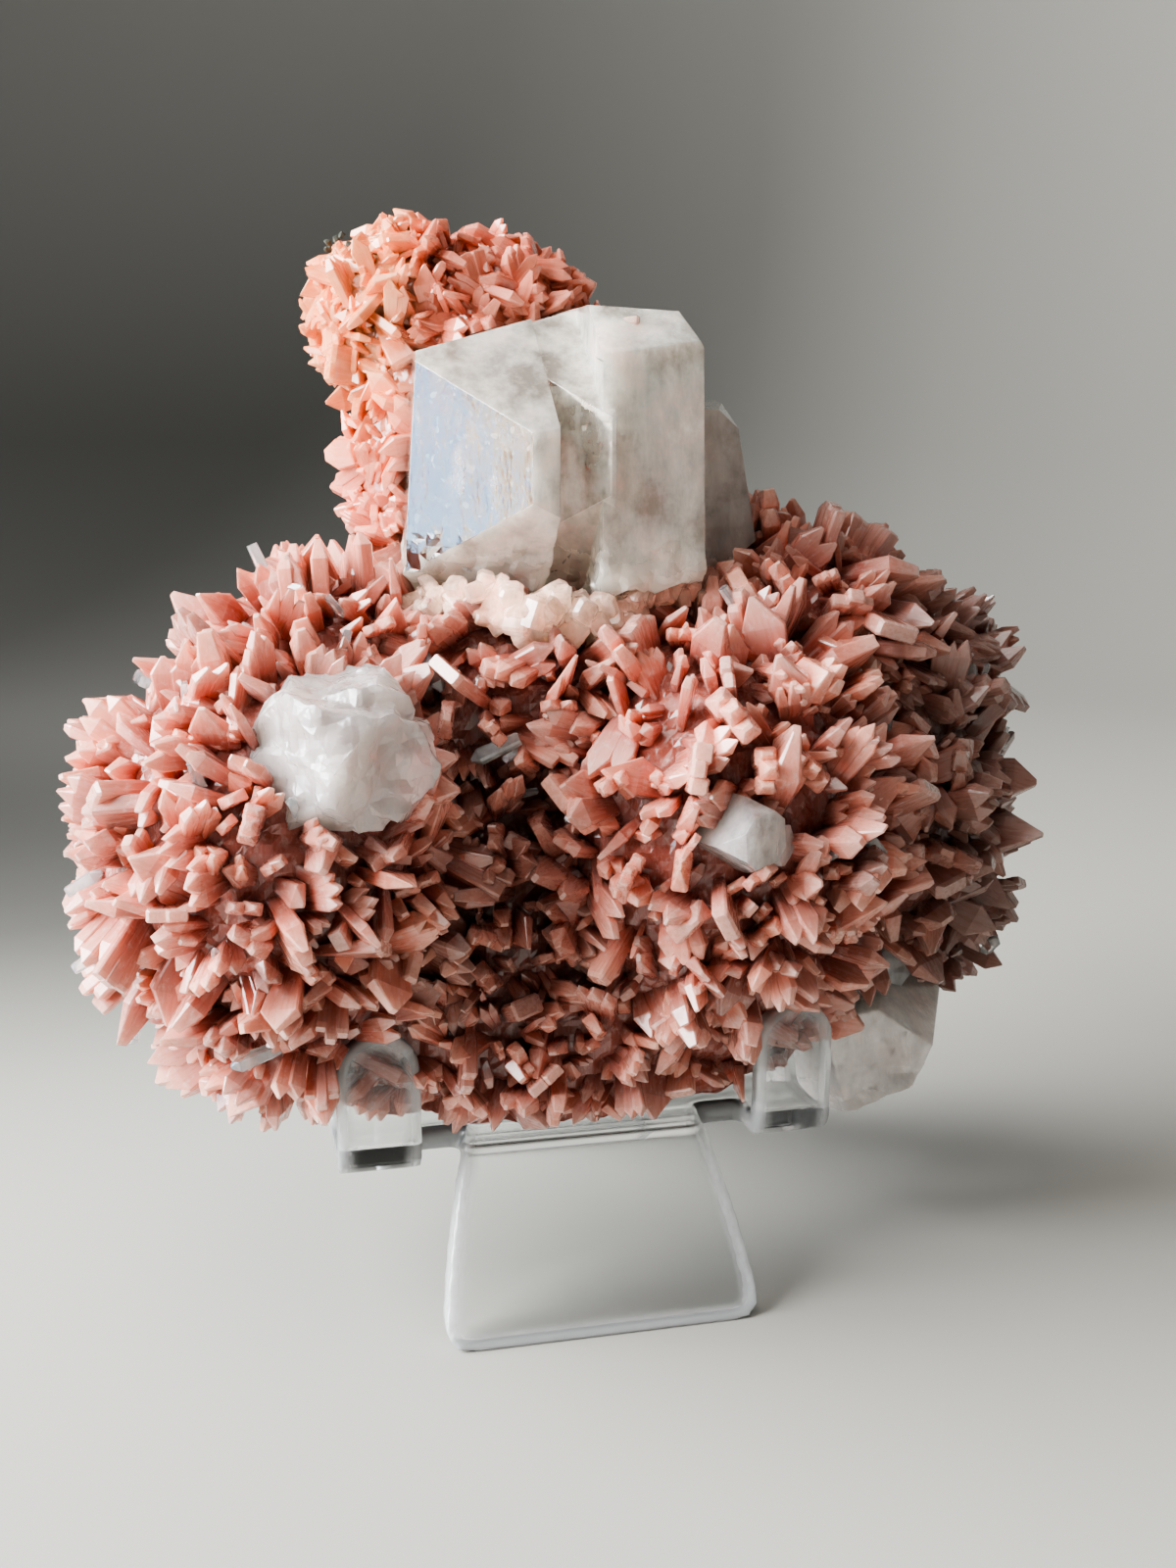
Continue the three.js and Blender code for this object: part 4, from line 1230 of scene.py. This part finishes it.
def build_stand(material):
    angle = math.radians(TONGUE_ANGLE)
    bend_y = ledge_mid / math.tan(angle) + SHEET / 2 / math.sin(angle) + TOE_Y
    toe_y = bend_y - (ledge_mid + DROP) / math.tan(angle)
    apex_y = rest_foot + (REST_TOP - ledge_mid) * lean_slope
    rear_y = REAR_FOOT_Y + (REAR_FOOT_Y - apex_y) / REST_TOP * DROP
    shoulder_y = rest_foot + (SHOULDER_TOP - ledge_mid) * lean_slope
    hook_line = [(HOOK_Y, HOOK_TOP), (HOOK_Y, ledge_mid), (LEDGE_JOINT, ledge_mid)]
    tongue_line = [(LEDGE_JOINT, ledge_mid), (bend_y, ledge_mid), (toe_y, -DROP)]
    rest_start = [(REST_START, ledge_mid), (rest_foot, ledge_mid)]
    shoulder_line = rest_start + [(shoulder_y, SHOULDER_TOP)]
    rest_line = rest_start + [(apex_y, REST_TOP), (rear_y, -DROP)]
    stand = merge_objects("clear_stand", [
        cut_sheet("hook_left", hook_line, LEDGE_WIDTH, hook_outline(-1)),
        cut_sheet("hook_right", hook_line, LEDGE_WIDTH, hook_outline(1)),
        cut_sheet("tongue", tongue_line, FOOT_WIDTH + 2, tongue_outline()),
        cut_sheet("shoulder", shoulder_line, LEDGE_WIDTH, rest_outline()),
        cut_sheet("rest", rest_line, REST_WIDTH, ABOVE_TABLE),
    ])
    apply_modifier(stand, "REMESH", mode="VOXEL", voxel_size=0.55 * MM)
    apply_modifier(stand, "SMOOTH", factor=0.5, iterations=6)
    stand.data.shade_smooth()
    mark_edges(stand)
    finish_piece(stand, material, "clear_sheet", "display_stand")


# Width of the bright band along a cut edge, and of its fading outer part, in millimetres
EDGE_BAND = 2.3
EDGE_FADE = 1.4


def mark_edges(stand):
    """Marks the bright band along the sheet's cut edges, which are the places where the way through
    the material is longer than its thickness."""
    shell = shell_of(stand)
    vertices = stand.data.vertices
    cut = []
    for vertex in vertices:
        far, _, _, way = shell.ray_cast(vertex.co - vertex.normal * (0.2 * MM), -vertex.normal)
        if far and way > SHEET * 1.7 * MM:
            cut.append(vertex.co)
    tree = KDTree(len(cut))
    for number, spot in enumerate(cut):
        tree.insert(spot, number)
    tree.balance()
    distance = np.array([tree.find(vertex.co)[2] for vertex in vertices]) / MM
    add_attribute(stand.data, "edge", rise(distance, EDGE_BAND, -EDGE_FADE))


# Floor, light and camera

STAGE_FLOOR = 0.5
STAGE_SWEEP = 0.8
STAGE_HEIGHT = 2.4
STAGE_TURNS = 144
FLOOR_STEP = 0.02
SWEEP_STEPS = 32
WALL_STEPS = 8


def stage_profile():
    """Radius and height of the stage from its middle outward and up."""
    profile = [(FLOOR_STEP * step, 0.0) for step in range(1, round(STAGE_FLOOR / FLOOR_STEP) + 1)]
    for step in range(1, SWEEP_STEPS + 1):
        turn = math.pi / 2 * step / SWEEP_STEPS
        profile.append((STAGE_FLOOR + STAGE_SWEEP * math.sin(turn), STAGE_SWEEP * (1 - math.cos(turn))))
    for step in range(1, WALL_STEPS + 1):
        height = STAGE_SWEEP + (STAGE_HEIGHT - STAGE_SWEEP) * step / WALL_STEPS
        profile.append((STAGE_FLOOR + STAGE_SWEEP, height))
    return profile


def smooth_step(value, low, high):
    share = limited((value - low) / (high - low))
    return share * share * (3 - 2 * share)


# How pale the stage is, by how far a place lies in the painted shade, how much painted light lifts it
# higher up, and by how far out it is
SHADE_STOPS = (0.0, 0.2, 0.42, 0.75)
SHADE_PALENESS = (0.50, 0.38, 0.15, 0.055)
PAINTED_LIGHT_RISE = 0.2
OPEN_RADII = (0.3, 1.25)
OPEN_PALENESS = (0.44, 0.13)
MOST_PALE = 0.8
STAGE_TINT = (1.0, 0.965, 0.87)


def stage_paleness(x, y, z):
    """Pale all around, with painted shade behind the object on the left, as in a room whose window is
    on the left: darkest there, with a painted pool of shade just behind the object on its left, and
    painted light that makes that shade paler higher up."""
    # Painted shade on the backdrop behind the object, on the left
    behind = smooth_step(y, 0.0, 0.17) * smooth_step(x, -0.75, -0.3)
    away = (y - 1.7 * x + 0.2) / 1.4
    # A painted pool of shade just behind the object, on its left
    painted_shade_pool = 0.3 * math.exp(-((y - 0.24) / 0.16) ** 2) * smooth_step(-x, -0.06, 0.08)
    # Painted light: the shaded part paler higher up
    painted_light_above = PAINTED_LIGHT_RISE * limited((z - 0.1) / 0.4)
    shaded = np.interp(away + painted_shade_pool, SHADE_STOPS, SHADE_PALENESS) + painted_light_above
    open_part = (1 - behind) * np.interp(math.hypot(x, y), OPEN_RADII, OPEN_PALENESS)
    return min(MOST_PALE, behind * shaded + open_part)


def build_stage():
    """A pale round floor that sweeps up into a backdrop all around."""
    material, tree, shader, _ = new_material("studio_floor")
    colour = add_node(tree, "ShaderNodeVectorMath")
    colour.operation = "SCALE"
    colour.inputs[0].default_value = STAGE_TINT
    set_inputs(tree, colour, Scale=attribute_node(tree, "paleness"))
    set_inputs(tree, shader, Base_Color=colour.outputs["Vector"], Roughness=0.6)
    vertices = [(0.0, 0.0, 0.0)]
    profile = stage_profile()
    for radius, height in profile:
        for turn in range(STAGE_TURNS):
            angle = 2 * math.pi * turn / STAGE_TURNS
            vertices.append((radius * math.cos(angle), radius * math.sin(angle), height))
    faces = [(0, 1 + turn, 1 + (turn + 1) % STAGE_TURNS) for turn in range(STAGE_TURNS)]
    for ring in range(len(profile) - 1):
        faces += [side[::-1] for side in ring_sides(1 + ring * STAGE_TURNS, STAGE_TURNS)]
    mesh = bpy.data.meshes.new("studio_floor")
    mesh.from_pydata(vertices, [], faces)
    mesh.shade_smooth()
    mesh.materials.append(material)
    add_attribute(mesh, "paleness", [stage_paleness(*vertex) for vertex in vertices])
    new_object("studio_floor", mesh)


# Name, place, aim, size, power, colour and roll of each lamp: a window on the left, tinted panes
# under it, which the bright facets mirror, and a weak top light
LAMPS = [
    ("window", (-0.62, 0.0, 0.41), (0, 0, 0.1), (0.62, 0.5), 26.0, (0.94, 0.97, 1.0), 0),
    ("pane_sky", (-0.61, -0.098, 0.1), (0, -0.098, 0.1), (0.09, 0.19), 0.8, (0.40, 0.68, 1.0), 16),
    ("pane_warm", (-0.6, -0.168, 0.072), (0, -0.168, 0.072), (0.045, 0.12), 0.22, (1.0, 0.78, 0.56), 16),
    ("pane_cream", (-0.61, -0.2, 0.13), (0, -0.2, 0.13), (0.05, 0.06), 0.2, (1.0, 0.92, 0.8), 0),
    ("top", (-0.2, -0.15, 0.75), (0, 0, 0.07), (0.4, 0.4), 2.0, (1.0, 0.96, 0.92), 0),
]


def area_light(name, spot, target, size, power, colour, roll):
    data = bpy.data.lights.new(name, "AREA")
    data.shape = "RECTANGLE"
    data.size, data.size_y = size
    data.energy = power
    data.color = colour
    lamp = new_object(name, data)
    lamp.location = spot
    aim = (Vector(target) - Vector(spot)).to_track_quat("-Z", "Y")
    lamp.rotation_euler = (aim.to_matrix() @ Matrix.Rotation(math.radians(roll), 3, "Z")).to_euler()


def build_light():
    for lamp in LAMPS:
        area_light(*lamp)
    world = bpy.data.worlds.new("studio")
    world.use_nodes = True
    background = next(n for n in world.node_tree.nodes if n.type == "BACKGROUND")
    set_inputs(world.node_tree, background, Color=(0.78, 0.76, 0.72), Strength=0.08)
    bpy.context.scene.world = world


def build_camera():
    """The photo's view: close to the object, a little from the left, pitched down."""
    focal_pixels = 1709.0
    picture_height = 1600.0
    eye = place(-44.2, -178.1, 108.0)
    pitch, heading, roll = math.radians(12.2), math.radians(13.4), math.radians(0.24)
    data = bpy.data.cameras.new("photo_view")
    data.sensor_width = 36.0
    data.lens = focal_pixels / picture_height * data.sensor_width
    data.clip_start = 0.01
    camera = new_object("photo_view", data)
    turn = Matrix.Rotation(-heading, 4, "Z") @ Matrix.Rotation(math.radians(90) - pitch, 4, "X")
    camera.matrix_world = Matrix.Translation(eye) @ turn @ Matrix.Rotation(roll, 4, "Z")
    bpy.context.scene.camera = camera


# The kinds of crystal: tints of the shaded, clear and included patches and of the root, milkiness,
# clouding and sparkle, then density and colour of the absorption
CRYSTAL_LOOKS = {
    "clear": (
        ((0.93, 0.87, 0.75), (1.0, 0.95, 0.85), (0.98, 0.80, 0.70), (1.0, 0.89, 0.75)),
        0.5, 0.08, 0.1, 3.0, (0.95, 0.91, 0.83)),
    "etched": (
        ((0.94, 0.82, 0.77), (1.0, 0.95, 0.91), (0.98, 0.82, 0.76), (1.0, 0.91, 0.86)),
        0.42, 0.05, 0.9, 3.0, (0.96, 0.92, 0.88)),
    "tinted": (
        ((0.68, 0.56, 0.50), (0.86, 0.76, 0.70), (0.74, 0.60, 0.53), (0.86, 0.76, 0.70)),
        0.4, 0.16, 0.2, 18.0, (0.87, 0.72, 0.64)),
    "smoky": (
        ((0.70, 0.63, 0.60), (0.90, 0.84, 0.81), (0.78, 0.67, 0.63), (0.86, 0.79, 0.76)),
        0.36, 0.08, 0.3, 30.0, (0.74, 0.66, 0.63)),
    "crumbly": (
        ((0.66, 0.42, 0.32), (0.88, 0.62, 0.49), (0.80, 0.40, 0.30), (0.92, 0.60, 0.45)),
        0.75, 0.12, 0.4, 4.0, (0.95, 0.88, 0.8)),
    "grain": (
        ((0.94, 0.92, 0.90), (0.99, 0.98, 0.97), (0.97, 0.93, 0.90), (0.98, 0.98, 0.98)),
        0.3, 0.04, 0.2, 4.0, (0.95, 0.95, 0.95)),
}

# The large crystals: kind, slot, bevel, and the height and depth of the etched root
CRYSTALS = {
    "main": ("clear", "clear_apophyllite", 0.14, 97.0, 0.7),
    "back": ("tinted", "tinted_apophyllite", 0.2, 95.0, 0.4),
    "left": ("etched", "clear_apophyllite", 0.2, 90.0, 0.6),
    "small": ("etched", "clear_apophyllite", 0.12, 62.0, 0.4),
    "lower_right": ("etched", "clear_apophyllite", 0.25, 26.0, 0.4),
    "dome": ("smoky", "smoky_apophyllite", 0.3, 37.0, 0.3),
}


def main():
    build_camera()
    build_druse(stilbite_material())
    rock = basalt_material()
    build_plate(rock)
    build_crumbs(rock)
    looks = {kind: crystal_material(f"{kind}_apophyllite", *look) for kind, look in CRYSTAL_LOOKS.items()}
    for name, (kind, slot, *shape) in CRYSTALS.items():
        piece = dressed_crystal(f"clear_crystal_{name}", f"apophyllite_{name}", looks[kind], slot, *shape)
        if name == "main":
            mark_facets(piece)
    build_veils(veil_material())
    build_grains(looks["grain"])
    build_foot(looks["crumbly"])
    build_stand(clear_sheet_material())
    build_stage()
    build_light()
    cycles = bpy.context.scene.cycles
    cycles.max_bounces = 8
    cycles.transmission_bounces = 8
    cycles.diffuse_bounces = 1
    cycles.glossy_bounces = 2
    bpy.context.scene.view_settings.view_transform = "AgX"
    bpy.context.scene.view_settings.look = "AgX - Medium High Contrast"


main()
